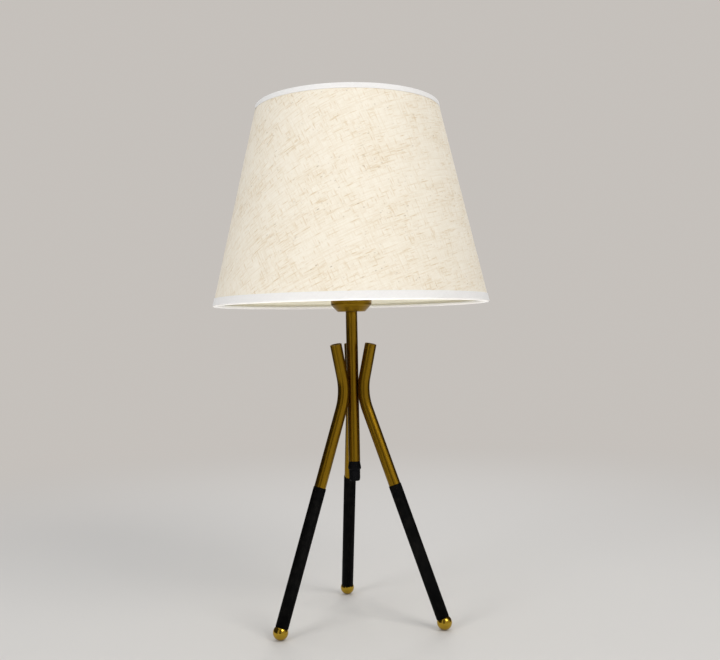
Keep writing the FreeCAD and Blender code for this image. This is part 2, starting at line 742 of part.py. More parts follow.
# ---------------------------------------------------------------- shade
def shade_r(z):
    """Outer radius of the fabric cover at a height."""
    return SHADE_BOTTOM_R - SHADE_TAPER * (z - SHADE_BOTTOM_Z)


def cone_shell(outside, thickness):
    """Tapered sleeve between the shade's edges, its outside inset level by `outside`."""
    level = thickness * WALL_FACTOR
    low = SHADE_BOTTOM_Z
    high = SHADE_TOP_Z
    return turned([
        (shade_r(low) - outside - level, low),
        (shade_r(low) - outside, low),
        (shade_r(high) - outside, high),
        (shade_r(high) - outside - level, high),
    ])


def wire_ring_place(edge_z, into):
    """Centre (r, z) of the wire ring that lies inside an edge; `into` is +1 up, -1 down."""
    z = edge_z + into * RING_INSET
    liner_r = shade_r(z) - (COVER_T + LINER_T) * WALL_FACTOR - 2 * PRESS
    return liner_r - WIRE_D / 2 * WALL_FACTOR - PRESS, z


def wire_ring(place):
    ring_r, z = place
    return Part.makeTorus(ring_r, WIRE_D / 2, FreeCAD.Vector(0, 0, z))


def tape(edge_z, into, height, lip):
    """Bias tape folded over an edge of the shade and under its wire ring.

    Its lip stands `lip` high inside the ring.
    """
    ring_r = wire_ring_place(edge_z, into)[0]
    skin = TAPE_GAP
    far_z = edge_z + into * height
    fold_z = edge_z - into * skin
    under_z = fold_z - into * TAPE_T
    inner_r = ring_r - WIRE_D / 2 - skin
    lip_z = fold_z + into * lip
    return turned([
        (shade_r(far_z) + skin, far_z),
        (shade_r(far_z) + skin + TAPE_T, far_z),
        (shade_r(fold_z) + skin + TAPE_T, fold_z),
        (shade_r(fold_z), under_z),
        (inner_r, under_z),
        (inner_r - TAPE_T, fold_z),
        (inner_r - TAPE_T, lip_z),
        (inner_r, lip_z),
        (inner_r, fold_z),
        (shade_r(fold_z) + skin, fold_z),
    ])


def spider_arm():
    """Wire from under the fitter, bent down to the bottom ring."""
    radius = WIRE_D / 2
    start = point(FITTER_D / 2 - ARM_OVERLAP, FITTER_Z - radius - PRESS)
    knee = point(FITTER_D / 2 + ARM_BEND_FROM_RING, start.z)
    ring_r, ring_z = wire_ring_place(SHADE_BOTTOM_Z, 1)
    ring = point(ring_r, ring_z)
    way = (ring - knee).normalize()
    turn = math.atan2(knee.z - ring.z, ring.x - knee.x)
    back = ARM_BEND_R * math.tan(turn / 2)
    bend_start = knee - point(1, 0) * back
    bend_end = knee + way * back
    centre = bend_start - point(0, 1) * ARM_BEND_R
    level = rod(radius, start, point(1, 0), (bend_start - start).Length)
    section = Part.Face(Part.Wire(Part.makeCircle(radius, bend_start, point(1, 0))))
    bend = section.revolve(centre, FreeCAD.Vector(0, 1, 0), math.degrees(turn))
    slope = rod(radius, bend_end, way, (ring - bend_end).Length)
    arm = level.fuse([bend, slope])
    clearance = Part.makeTorus(ring_r, radius + PRESS, FreeCAD.Vector(0, 0, ring_z))
    pieces = arm.cut(clearance).removeSplitter().Solids
    return max(pieces, key=lambda solid: solid.Volume)


def make_shade():
    export("shade_cover", cone_shell(0, COVER_T))
    export("shade_liner", cone_shell(COVER_T * WALL_FACTOR + PRESS, LINER_T))
    export("bottom_wire_ring", wire_ring(wire_ring_place(SHADE_BOTTOM_Z, 1)))
    export("top_wire_ring", wire_ring(wire_ring_place(SHADE_TOP_Z, -1)))
    export("bottom_tape", tape(SHADE_BOTTOM_Z, 1, BOTTOM_TAPE_H, BOTTOM_TAPE_LIP))
    export("top_tape", tape(SHADE_TOP_Z, -1, TOP_TAPE_H, TOP_TAPE_LIP))
    export("fitter_ring", tube(FITTER_D / 2, SKIRT_D / 2 + RUNNING, FITTER_Z, FITTER_TOP_Z))
    arm = spider_arm()
    for side, azimuth in ARM_AZIMUTHS.items():
        export("spider_arm_" + side, about_z(arm, azimuth))


os.makedirs("parts", exist_ok=True)
make_tripod()
make_stem_ends()
make_gland()
make_lampholder()
make_bulb()
make_shade()
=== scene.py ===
"""Tripod table lamp: finished pieces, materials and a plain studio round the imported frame.

Metres, +Z up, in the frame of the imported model. Turns about the stem are measured from +X,
anticlockwise from above.
"""

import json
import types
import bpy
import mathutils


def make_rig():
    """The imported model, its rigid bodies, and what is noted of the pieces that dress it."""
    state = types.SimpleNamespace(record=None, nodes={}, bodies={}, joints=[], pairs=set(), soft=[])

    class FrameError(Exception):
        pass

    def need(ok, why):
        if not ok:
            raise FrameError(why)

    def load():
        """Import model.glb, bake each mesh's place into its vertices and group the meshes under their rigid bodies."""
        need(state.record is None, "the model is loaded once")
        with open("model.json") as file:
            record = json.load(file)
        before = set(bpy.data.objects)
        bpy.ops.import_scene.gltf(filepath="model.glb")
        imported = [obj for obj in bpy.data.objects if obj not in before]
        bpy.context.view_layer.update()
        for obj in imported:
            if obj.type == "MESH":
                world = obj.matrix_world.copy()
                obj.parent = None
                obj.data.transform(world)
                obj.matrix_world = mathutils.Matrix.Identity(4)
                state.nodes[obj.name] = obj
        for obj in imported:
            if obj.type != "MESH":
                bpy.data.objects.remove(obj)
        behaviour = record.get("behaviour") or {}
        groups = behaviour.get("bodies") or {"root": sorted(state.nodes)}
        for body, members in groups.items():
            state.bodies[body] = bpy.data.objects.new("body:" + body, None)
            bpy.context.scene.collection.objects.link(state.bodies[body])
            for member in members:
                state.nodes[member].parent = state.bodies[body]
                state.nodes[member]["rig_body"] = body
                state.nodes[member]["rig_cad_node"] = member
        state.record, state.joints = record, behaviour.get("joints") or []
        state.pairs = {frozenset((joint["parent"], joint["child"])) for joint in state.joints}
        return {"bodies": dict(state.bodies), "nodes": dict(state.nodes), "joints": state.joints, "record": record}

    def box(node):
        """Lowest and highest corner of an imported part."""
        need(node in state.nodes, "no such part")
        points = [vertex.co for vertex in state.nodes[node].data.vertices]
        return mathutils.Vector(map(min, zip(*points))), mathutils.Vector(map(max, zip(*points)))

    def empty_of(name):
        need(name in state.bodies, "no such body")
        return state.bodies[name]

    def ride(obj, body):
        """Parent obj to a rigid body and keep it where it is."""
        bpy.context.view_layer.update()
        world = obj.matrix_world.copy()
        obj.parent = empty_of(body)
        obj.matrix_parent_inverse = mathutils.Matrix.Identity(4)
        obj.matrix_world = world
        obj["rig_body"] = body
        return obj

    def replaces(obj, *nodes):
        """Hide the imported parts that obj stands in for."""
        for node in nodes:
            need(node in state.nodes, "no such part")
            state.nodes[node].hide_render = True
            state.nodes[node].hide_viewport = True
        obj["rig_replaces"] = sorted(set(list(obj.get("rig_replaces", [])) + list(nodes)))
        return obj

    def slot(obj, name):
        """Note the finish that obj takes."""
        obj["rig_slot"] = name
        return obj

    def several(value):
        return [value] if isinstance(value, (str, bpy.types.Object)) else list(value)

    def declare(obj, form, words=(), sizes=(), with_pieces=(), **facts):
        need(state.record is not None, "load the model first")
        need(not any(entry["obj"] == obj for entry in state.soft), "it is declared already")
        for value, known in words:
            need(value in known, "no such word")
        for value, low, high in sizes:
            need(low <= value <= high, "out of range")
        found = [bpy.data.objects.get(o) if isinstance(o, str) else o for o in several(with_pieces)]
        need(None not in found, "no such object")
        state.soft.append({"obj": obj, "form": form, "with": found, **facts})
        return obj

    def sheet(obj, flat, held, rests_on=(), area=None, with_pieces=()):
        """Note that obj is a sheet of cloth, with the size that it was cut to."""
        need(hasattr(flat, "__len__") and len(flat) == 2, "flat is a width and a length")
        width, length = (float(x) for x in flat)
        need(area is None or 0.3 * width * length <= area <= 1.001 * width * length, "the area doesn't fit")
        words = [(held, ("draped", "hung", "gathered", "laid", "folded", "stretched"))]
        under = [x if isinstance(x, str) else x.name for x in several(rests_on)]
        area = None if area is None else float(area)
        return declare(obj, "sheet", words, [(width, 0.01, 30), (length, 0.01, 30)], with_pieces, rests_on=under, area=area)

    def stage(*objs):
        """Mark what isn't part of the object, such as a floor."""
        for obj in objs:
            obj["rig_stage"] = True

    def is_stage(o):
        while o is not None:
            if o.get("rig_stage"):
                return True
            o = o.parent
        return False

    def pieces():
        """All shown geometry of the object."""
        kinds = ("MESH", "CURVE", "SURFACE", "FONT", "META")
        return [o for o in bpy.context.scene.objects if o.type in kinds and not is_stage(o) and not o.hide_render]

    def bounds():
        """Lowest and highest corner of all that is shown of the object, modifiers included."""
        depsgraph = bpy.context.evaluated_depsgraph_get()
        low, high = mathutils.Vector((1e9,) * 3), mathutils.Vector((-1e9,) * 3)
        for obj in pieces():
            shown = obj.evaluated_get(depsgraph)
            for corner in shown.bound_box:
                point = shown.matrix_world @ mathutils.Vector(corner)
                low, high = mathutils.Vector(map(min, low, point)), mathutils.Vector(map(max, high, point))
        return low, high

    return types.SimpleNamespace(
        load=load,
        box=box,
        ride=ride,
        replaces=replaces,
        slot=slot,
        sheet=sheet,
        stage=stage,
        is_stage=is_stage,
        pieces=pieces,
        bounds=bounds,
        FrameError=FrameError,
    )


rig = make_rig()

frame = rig.load()
CAD_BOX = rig.bounds()

import json
import math

import bmesh
import bpy
from mathutils import Matrix, Vector

MM = 0.001


def low(node):
    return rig.box(node)[0]


def high(node):
    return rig.box(node)[1]


def span(node):
    """Heights of a node's foot and top."""
    return low(node).z, high(node).z


# ---------------------------------------------------------------- sizes
# Gaps between pieces
TOUCH = 0.02 * MM             # pieces that are fixed to each other
SEATED = 0.05 * MM            # faces that rest on each other
RUNNING = 0.08 * MM           # pieces that turn on each other

# Tubes and legs
SIDES = {"left": 210.0, "right": 330.0, "rear": 90.0}     # turns of the legs and of the shade's arms
TUBE_R = high("stem_tube").x
TUBE_WALL = 1.0 * MM
CUT_EDGE = 0.18 * MM          # softened edge of a sawn tube
STEM_LOW, STEM_HIGH = span("stem_tube")
BALL_R = (high("foot_ball_rear").x - low("foot_ball_rear").x) / 2
FOOT_CIRCLE_R = low("foot_ball_rear").y + BALL_R
TUBE_SEAT = 5.0 * MM          # from a ball's centre to its flat
THROAT_Z = 253.6 * MM
LEG_BEND_R = 63.0 * MM
LEG_TOP_LEAN = math.radians(12.5)
LEG_TOP_Z = 302.8 * MM
SLEEVE_TOP_Z = 150.6 * MM
SLEEVE_WALL = 0.45 * MM
SLEEVE_SEAM = 0.06 * MM
SLEEVE_CURL = 0.14 * MM       # depth and width of the leather's rolled edges at the seam
SLEEVE_CURL_WIDE = 0.9 * MM

# Gland
GLAND_BORE_R = 3.6 * MM
GLAND_SCREW_R = 5.0 * MM      # upper spigot, in the stem's bush
GLAND_TOP_R = 6.0 * MM
GLAND_BAND_TOP = 6.6 * MM     # the widest band, below the stem's end
GLAND_BAND_FOOT = 8.2 * MM
GLAND_SPIGOT_R = 4.8 * MM     # lower spigot, in the nut
NUT_R = 6.1 * MM
NUT_TIP_R = 5.6 * MM
NUT_BORE_R = 4.83 * MM
NUT_FLOOR = 2.2 * MM
CORD_HOLE_R = 3.2 * MM
NUT_RIBS = 18
NUT_RIB_R = 0.35 * MM
NUT_RIB_CIRCLE_R = 5.72 * MM
NUT_RIB_SHORTER = 3.6 * MM    # than the nut
NUT_RIB_RISE = 0.3 * MM       # of its middle above the nut's

# Cup and lampholder
CUP_R = high("cup").x
CUP_WALL = 0.8 * MM
CUP_HOLE_R = 5.03 * MM
CUP_FLOOR_R = 15.1 * MM
CUP_FLOOR_FILLET = 1.5 * MM
CUP_SHOULDER_H = 7.7 * MM
CUP_SHOULDER_FILLET = 2.5 * MM
SKIRT_R = 19.6 * MM
SKIRT_WALL = 2.0 * MM
SKIRT_FLANGE_T = 2.6 * MM
SKIRT_SPIGOT_R = 16.75 * MM
SKIRT_WEB_R = 16.1 * MM
SKIRT_WEB_T = 2.0 * MM
SKIRT_LIP_R = 14.4 * MM
SKIRT_LIP_T = 1.5 * MM
SKIRT_PITCH = 2.5 * MM
SKIRT_THREAD_DEPTH = 0.7 * MM
THREAD_REACH = 0.55 * MM      # depth of wall that a thread's wave moves
RING_FLANGE_T = 2.0 * MM
RING_HUB_R = 22.5 * MM
RING_GRIPS = 12
GRIP_R = 2.0 * MM
GRIP_OUT = 1.0 * MM           # of a grip's centre from the hub

# Bulb
BULB_R = high("bulb_diffuser").x
BULB_WALL = 1.2 * MM
BULB_NECK_R = 14.3 * MM
BULB_NECK_H = 5.0 * MM        # straight neck above the cap
BULB_WAIST_R = 14.0 * MM      # curve from the neck to the flare
BULB_SHOULDER_R = 20.0 * MM   # curve from the flare to the rim
BULB_RIM_H = 8.0 * MM
BULB_LEDGE_R = 23.0 * MM      # that the board lies on
BULB_LEDGE_DROP = 4.0 * MM    # below the rim
BULB_CAP_R = high("bulb_screw_cap").x
BULB_CAP_WALL = 0.5 * MM
BULB_CAP_MOUTH_R = 11.1 * MM
BULB_CAP_CONE_H = 2.0 * MM
BULB_PITCH = 3.62 * MM
BULB_THREAD_DEPTH = 0.9 * MM

# Shade
SHADE_LOW, SHADE_HIGH = span("shade_cover")
SHADE_R_LOW = high("shade_cover").x
SHADE_R_HIGH = 100.0 * MM
COVER_T = 0.45 * MM
LINER_T = 0.6 * MM
GRAIN_TURN = 8.0              # where the cloth's threads lie level
SEAM_TURN = 158.0             # of the cover's glued overlap, at the rear left
OVERLAP = 11.0 * MM
RAMP = 4.0 * MM               # over which the overlap rises
WIRE_R = 1.5 * MM
RING_INSET = 1.6 * MM         # of a wire ring's centre from the shade's edge
TAPE_T = 0.5 * MM
TAPE_HEM = 1.3 * MM
BOTTOM_TAPE_H = 8.4 * MM
TOP_TAPE_H = 5.4 * MM
BOTTOM_TAPE_LIP = 0.75 * MM   # past the wire's centre, inside
TOP_TAPE_LIP = 1.6 * MM
JOINT_TURN = 30.0             # of the tapes' lapped ends, from the seam
JOINT_LAP = 9.0 * MM
JOINT_RISE = 0.3 * MM
JOINT_RAMP = 1.0 * MM
ARM_LAP = 5.0 * MM            # of an arm under the fitter
ARM_LEVEL = 10.0 * MM         # of an arm outside the fitter
ARM_BEND_R = 30.0 * MM

TAPER = (SHADE_R_LOW - SHADE_R_HIGH) / (SHADE_HIGH - SHADE_LOW)
CONE_SIN = TAPER / math.hypot(1, TAPER)
SLOPE = math.hypot(1, TAPER)


# ---------------------------------------------------------------- mesh helpers
def rounded(corners, steps=4):
    """Points of a closed outline through (r, z[, fillet]) corners, fillets as tangent arcs."""
    points = []
    for index, corner in enumerate(corners):
        here = Vector(corner[:2])
        fillet = corner[2] if len(corner) > 2 else 0
        if not fillet:
            points.append(here)
            continue
        to_before = (Vector(corners[index - 1][:2]) - here).normalized()
        to_after = (Vector(corners[(index + 1) % len(corners)][:2]) - here).normalized()
        half = to_before.angle(to_after) / 2
        centre = here + (to_before + to_after).normalized() * fillet / math.sin(half)
        start = here + to_before * fillet / math.tan(half) - centre
        end = here + to_after * fillet / math.tan(half) - centre
        sweep = start.angle_signed(end)
        for step in range(steps + 1):
            turn = -sweep * step / steps
            cos, sin = math.cos(turn), math.sin(turn)
            points.append(centre + Vector((start.x * cos - start.y * sin,
                                           start.x * sin + start.y * cos)))
    return points


def clean(mesh, fill_holes=False):
    """Closes seams and poles, drops loose edges and turns all faces outwards."""
    work = bmesh.new()
    work.from_mesh(mesh)
    bmesh.ops.remove_doubles(work, verts=work.verts, dist=1e-7)
    if fill_holes:
        bmesh.ops.holes_fill(work, edges=work.edges, sides=0)
    loose = [edge for edge in work.edges if not edge.link_faces]
    bmesh.ops.delete(work, geom=loose, context="EDGES")
    bmesh.ops.recalc_face_normals(work, faces=work.faces)
    work.to_mesh(mesh)
    work.free()


def link(name, data):
    piece = bpy.data.objects.new(name, data)
    bpy.context.scene.collection.objects.link(piece)
    return piece


def skin(name, columns, rows, place, around=True, fill_holes=False, sharp=35):
    """Quad mesh over a grid whose rows close. place(column, row) gives (point, (u, v)) in metres."""
    wide = columns if around else columns + 1
    grid = {(i, j): place(i, j) for j in range(rows + 1) for i in range(columns + 1)}
    faces = []
    marks = []
    for j in range(rows):
        for i in range(columns):
            ring = ((i, j), (i + 1, j), (i + 1, j + 1), (i, j + 1))
            faces.append([(b % rows) * wide + a % wide for a, b in ring])
            for key in ring:
                marks.extend(grid[key][1])
    mesh = bpy.data.meshes.new(name)
    mesh.from_pydata([grid[i, j][0] for j in range(rows) for i in range(wide)], [], faces)
    mesh.uv_layers.new(name="UVMap").data.foreach_set("uv", marks)
    clean(mesh, fill_holes)
    mesh.polygons.foreach_set("use_smooth", [True] * len(mesh.polygons))
    mesh.set_sharp_from_angle(angle=math.radians(sharp))
    return link(name, mesh)


def arc_points(centre_z, radius, start, end, steps):
    """Evenly spaced points on an arc whose centre is on the axis."""
    angles = [start + (end - start) * step / steps for step in range(steps + 1)]
    return [Vector((radius * math.cos(angle), centre_z + radius * math.sin(angle))) for angle in angles]


def stretch(r, start, end, step):
    """Evenly spaced points up or down a straight wall."""
    count = max(1, round(abs(end - start) / step))
    return [Vector((r, start + (end - start) * k / count)) for k in range(count + 1)]


def lengths(path):
    """Distance of each point along a closed path, and the whole length at the end."""
    total = 0.0
    marks = [0.0]
    for index in range(len(path)):
        total += (path[(index + 1) % len(path)] - path[index]).length
        marks.append(total)
    return marks


def turned(name, path, columns=128, shift=None, grain="along", sharp=35):
    """Solid of revolution about the stem's axis. shift(turn, r, z) moves a point outwards."""
    marks = lengths(path)
    mean = max(point.x for point in path)

    def place(i, j):
        turn = 2 * math.pi * i / columns
        r, z = path[j % len(path)]
        out = r + (shift(turn, r, z) if shift else 0)
        flat = (turn * mean, marks[j]) if grain == "along" else (marks[j], turn * mean)
        return Vector((out * math.cos(turn), out * math.sin(turn), z)), flat

    return skin(name, columns, len(path), place, sharp=sharp)


def dress(piece, body, finish, slot, *nodes):
    """Puts the finish on, and says what the piece rides on and stands for."""
    piece.data.materials.clear()
    piece.data.materials.append(finish)
    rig.ride(piece, body)
    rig.slot(piece, slot)
    if nodes:
        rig.replaces(piece, *nodes)
    return piece


def about_stem(piece, degrees):
    piece.data.transform(Matrix.Rotation(math.radians(degrees), 4, "Z"))
    return piece


# ---------------------------------------------------------------- shader helpers
def plug(tree, value, socket):
    """Links a socket to the value where that is a socket too, and otherwise sets it."""
    if isinstance(value, bpy.types.NodeSocket):
        tree.links.new(value, socket)
    else:
        socket.default_value = value


def plug_all(tree, sockets, values):
    for key, value in values.items():
        plug(tree, value, sockets[key])


def node(tree, kind, inputs=None, **settings):
    """A shader or geometry node with its inputs plugged."""
    made = tree.nodes.new(kind)
    for key, value in settings.items():
        setattr(made, key, value)
    plug_all(tree, made.inputs, inputs or {})
    return made


def maths(tree, operation, *values, clamp=False):
    made = node(tree, "ShaderNodeMath", dict(enumerate(values)), operation=operation)
    made.use_clamp = clamp
    return made.outputs[0]


def mixed(tree, share, one, other):
    """Colour mix. A plain colour is given as red, green and blue."""
    made = node(tree, "ShaderNodeMix", data_type="RGBA")
    factor, first, second = (made.inputs[index] for index in (0, 6, 7))
    plug(tree, share, factor)
    for value, socket in ((one, first), (other, second)):
        plug(tree, (*value, 1.0) if isinstance(value, tuple) else value, socket)
    return made.outputs[2]


def ranged(tree, value, from_low, from_high, to_low=0.0, to_high=1.0, smooth=False):
    made = node(tree, "ShaderNodeMapRange",
                {"Value": value, "From Min": from_low, "From Max": from_high,
                 "To Min": to_low, "To Max": to_high})
    made.interpolation_type = "SMOOTHSTEP" if smooth else "LINEAR"
    return made.outputs[0]


def noise(tree, vector, scale, detail=2.0, roughness=0.5):
    return node(tree, "ShaderNodeTexNoise",
                {"Vector": vector, "Scale": scale, "Detail": detail, "Roughness": roughness}).outputs[0]


def new_tree(name, kind, inputs, outputs):
    """An empty node group: (tree, its input sockets, its output sockets)."""
    tree = bpy.data.node_groups.new(name, kind)
    for in_out, rows in (("INPUT", inputs), ("OUTPUT", outputs)):
        for label, socket_type in rows:
            tree.interface.new_socket(label, in_out=in_out, socket_type=socket_type)
    return tree, tree.nodes.new("NodeGroupInput").outputs, tree.nodes.new("NodeGroupOutput").inputs


def effect(name, inputs, outputs):
    return new_tree(name, "ShaderNodeTree", inputs, outputs)


FLOAT = "NodeSocketFloat"
VECTOR = "NodeSocketVector"
INTEGER = "NodeSocketInt"
GEOMETRY = "NodeSocketGeometry"
MATERIAL = "NodeSocketMaterial"


def make_streaks():
    """Fine lines along V, as a brush or a drawing die leaves them, and a slow mottle."""
    tree, given, made = effect("streaks", [("UV", VECTOR), ("Fineness", FLOAT), ("Length", FLOAT)],
                               [("Lines", FLOAT), ("Mottle", FLOAT)])
    parts = node(tree, "ShaderNodeSeparateXYZ", {0: given["UV"]})
    across = maths(tree, "MULTIPLY", parts.outputs[0], given["Fineness"])
    along = maths(tree, "DIVIDE", parts.outputs[1], given["Length"])
    drawn = node(tree, "ShaderNodeCombineXYZ", {0: across, 1: along}).outputs[0]
    plug_all(tree, made, {"Lines": noise(tree, drawn, 1.0, 3.0, 0.6),
                          "Mottle": noise(tree, given["UV"], 90.0, 4.0, 0.6)})
    return tree


def make_weave():
    """Plain weave: thread height, a tone for each thread, thick coloured slubs, specks and bands."""
    tree, given, made = effect(
        "weave", [("UV", VECTOR), ("Pitch", FLOAT), ("Slub Length", FLOAT), ("Wander", FLOAT)],
        [("Height", FLOAT), ("Tone", FLOAT), ("Slub", FLOAT), ("Speck", FLOAT), ("Band", FLOAT),
         ("Patch", FLOAT)])
    sway = node(tree, "ShaderNodeTexNoise", {"Vector": given["UV"], "Scale": 22.0, "Detail": 1.0})
    sway = node(tree, "ShaderNodeVectorMath", {0: sway.outputs["Color"], 1: (-0.5, -0.5, -0.5)},
                operation="ADD").outputs[0]
    sway = node(tree, "ShaderNodeVectorMath", {0: sway, "Scale": given["Wander"]},
                operation="SCALE").outputs[0]
    swayed = node(tree, "ShaderNodeVectorMath", {0: given["UV"], 1: sway}, operation="ADD").outputs[0]
    patch = noise(tree, given["UV"], 30.0, 2.0, 0.55)
    denser = maths(tree, "MULTIPLY_ADD", patch, 0.24, -0.12)
    parts = node(tree, "ShaderNodeSeparateXYZ", {0: swayed})

    def lane(index, width, length, seed):
        """A run of noise in each of the parallel lanes: (lane's number, its crown, the noise)."""
        place = maths(tree, "DIVIDE", parts.outputs[index],
                      maths(tree, "MULTIPLY", given["Pitch"], width))
        run = maths(tree, "DIVIDE", parts.outputs[1 - index],
                    maths(tree, "MULTIPLY", given["Slub Length"], length))
        number = maths(tree, "FLOOR", place)
        centred = maths(tree, "MULTIPLY_ADD", maths(tree, "FRACT", place), 2.0, -1.0)
        crown = maths(tree, "SUBTRACT", 1.0, maths(tree, "MULTIPLY", centred, centred))
        spot = node(tree, "ShaderNodeCombineXYZ",
                    {0: maths(tree, "MULTIPLY", number, 7.31 + index), 1: run, 2: seed + 3.7 * index})
        return number, crown, noise(tree, spot.outputs[0], 1.0, 1.5, 0.5)

    def both_ways(width, length, seed, low_end, high_end, shift=None):
        """The marks of the lanes of both directions, those of the second a little rarer."""
        marks = []
        for index in (0, 1):
            _, crown, run = lane(index, width, length, seed)
            if shift is not None:
                run = maths(tree, "ADD", run, shift)
            mark = ranged(tree, run, low_end + 0.02 * (1 - index), high_end + 0.02 * (1 - index))
            marks.append(maths(tree, "MULTIPLY", mark, maths(tree, "MULTIPLY_ADD", crown, 0.7, 0.3)))
        return maths(tree, "MAXIMUM", marks[0], marks[1])

    warp, warp_crown, warp_tone = lane(0, width=1.0, length=1.0, seed=0.0)
    weft, weft_crown, weft_tone = lane(1, width=1.0, length=1.0, seed=0.0)
    over = maths(tree, "MODULO", maths(tree, "ABSOLUTE", maths(tree, "ADD", warp, weft)), 2.0)
    under = maths(tree, "SUBTRACT", 1.0, over)
    height = maths(tree, "ADD",
                   maths(tree, "MULTIPLY", warp_crown, maths(tree, "MULTIPLY_ADD", over, 0.6, 0.4)),
                   maths(tree, "MULTIPLY", weft_crown, maths(tree, "MULTIPLY_ADD", under, 0.6, 0.4)))
    slub = both_ways(width=1.9, length=0.85, seed=11.0, low_end=0.575, high_end=0.76, shift=denser)
    speck = both_ways(width=1.9, length=0.32, seed=22.0, low_end=0.69, high_end=0.82, shift=denser)
    band = both_ways(width=2.2, length=2.4, seed=33.0, low_end=0.47, high_end=0.72)
    raised = maths(tree, "MULTIPLY_ADD", slub, 0.5, height)
    tone = maths(tree, "ADD", maths(tree, "MULTIPLY", over, warp_tone),
                 maths(tree, "MULTIPLY", under, weft_tone))
    plug_all(tree, made, {"Height": raised, "Tone": tone, "Slub": slub, "Speck": speck, "Band": band,
                          "Patch": patch})
    return tree


def make_pores():
    """Irregular small cells and wrinkles, for leather, moulded plastic and paint."""
    tree, given, made = effect("pores", [("Place", VECTOR), ("Scale", FLOAT)],
                               [("Cells", FLOAT), ("Cloud", FLOAT)])
    cells = node(tree, "ShaderNodeTexVoronoi", {"Vector": given["Place"], "Scale": given["Scale"]},
                 feature="DISTANCE_TO_EDGE")
    plug_all(tree, made, {"Cells": ranged(tree, cells.outputs["Distance"], 0.0, 0.25, smooth=True),
                          "Cloud": noise(tree, given["Place"], 130.0, 4.0, 0.6)})
    return tree


STREAKS = make_streaks()
WEAVE = make_weave()
PORES = make_pores()


def material(name):
    made = bpy.data.materials.new(name)
    made.use_nodes = True
    tree = made.node_tree
    return made, tree, tree.nodes["Principled BSDF"]


def spaced(values):
    """Keywords as Blender writes the names of its sockets, with spaces."""
    return {key.replace("_", " "): value for key, value in values.items()}


def group(tree, kind, **inputs):
    """A shader node group with its inputs plugged; gives its outputs."""
    made = tree.nodes.new("ShaderNodeGroup")
    made.node_tree = kind
    plug_all(tree, made.inputs, spaced(inputs))
    return made.outputs


def uv(tree):
    return tree.nodes.new("ShaderNodeUVMap").outputs[0]


def place_of(tree):
    return tree.nodes.new("ShaderNodeTexCoord").outputs["Object"]


def coat(tree, shader, colour, roughness, relief, **others):
    """Plugs a surface's colour, roughness, relief (height, strength, distance) and other inputs."""
    height, strength, distance = relief
    bump = node(tree, "ShaderNodeBump", {"Strength": strength, "Distance": distance, "Height": height})
    plug_all(tree, shader.inputs, {"Base Color": colour, "Roughness": roughness,
                                   "Normal": bump.outputs[0], **spaced(others)})


def brass(name, dark, bright, fineness, rough_low, rough_high, clouding=0.12, mapped=True):
    """Brass with drawn or brushed lines: darker and duller in the lines, faintly clouded."""
    made, tree, shader = material(name)
    source = uv(tree) if mapped else place_of(tree)
    marks = group(tree, STREAKS, UV=source, Fineness=fineness, Length=0.09)
    cloud = maths(tree, "MULTIPLY", ranged(tree, marks["Mottle"], 0.3, 0.7), clouding)
    lines = maths(tree, "MULTIPLY", ranged(tree, marks["Lines"], 0.2, 0.8), 1 - clouding)
    share = maths(tree, "ADD", lines, cloud, clamp=True)
    coat(tree, shader, mixed(tree, share, dark, bright),
         ranged(tree, share, 0.2, 0.8, rough_high, rough_low), (marks["Lines"], 0.05, 0.03 * MM),
         Metallic=1.0)
    return made


def moulded(name, colour, other, rough, scale, bump, metallic=0.0, shine=0.5):
    """Plastic, paint, ceramic or plated metal: a faint cloud of colour and a fine skin."""
    made, tree, shader = material(name)
    marks = group(tree, PORES, Place=place_of(tree), Scale=scale)
    coat(tree, shader, mixed(tree, ranged(tree, marks["Cloud"], 0.35, 0.65), colour, other),
         ranged(tree, marks["Cloud"], 0.3, 0.7, rough - 0.02, rough + 0.03),
         (marks["Cells"], bump, 0.04 * MM), Metallic=metallic, Specular_IOR_Level=shine)
    return made


def cloth(name, base, shade, slub, speck, pitch, slub_length, shares, turn=0.0, sheen=0.15):
    """Woven cloth on the piece's own flat UV; shares are of slubs, specks, bands and patches."""
    slub_share, speck_share, band_share, patch_share = shares
    made, tree, shader = material(name)
    source = node(tree, "ShaderNodeMapping", {"Vector": uv(tree), "Rotation": (0, 0, turn)}).outputs[0]
    threads = group(tree, WEAVE, UV=source, Pitch=pitch, Slub_Length=slub_length, Wander=3.0 * MM)
    toned = mixed(tree, ranged(tree, threads["Tone"], 0.3, 0.7), base, shade)
    banded = mixed(tree, maths(tree, "MULTIPLY", threads["Band"], band_share), toned, slub)
    patched = mixed(tree, ranged(tree, threads["Patch"], 0.45, 0.75, 0.0, patch_share), banded, slub)
    thick = mixed(tree, maths(tree, "MULTIPLY", threads["Slub"], slub_share), patched, slub)
    flecked = mixed(tree, maths(tree, "MULTIPLY", threads["Speck"], speck_share), thick, speck)
    coat(tree, shader, flecked, ranged(tree, threads["Tone"], 0.3, 0.7, 0.78, 0.92),
         (threads["Height"], 0.35, 0.12 * MM), Sheen_Weight=sheen, Specular_IOR_Level=0.25)
    return made


def leather(name):
    """Matt black leather with fine pores, a little greyer where it is worn."""
    made, tree, shader = material(name)
    marks = group(tree, PORES, Place=place_of(tree), Scale=1500.0)
    worn = ranged(tree, marks["Cloud"], 0.45, 0.75)
    both = maths(tree, "MULTIPLY_ADD", marks["Cloud"], 0.8, marks["Cells"])
    coat(tree, shader, mixed(tree, worn, (0.0012, 0.0012, 0.0012), (0.004, 0.0036, 0.0032)),
         ranged(tree, marks["Cloud"], 0.3, 0.7, 0.5, 0.66), (both, 0.3, 0.08 * MM),
         Specular_IOR_Level=0.03)
    return made


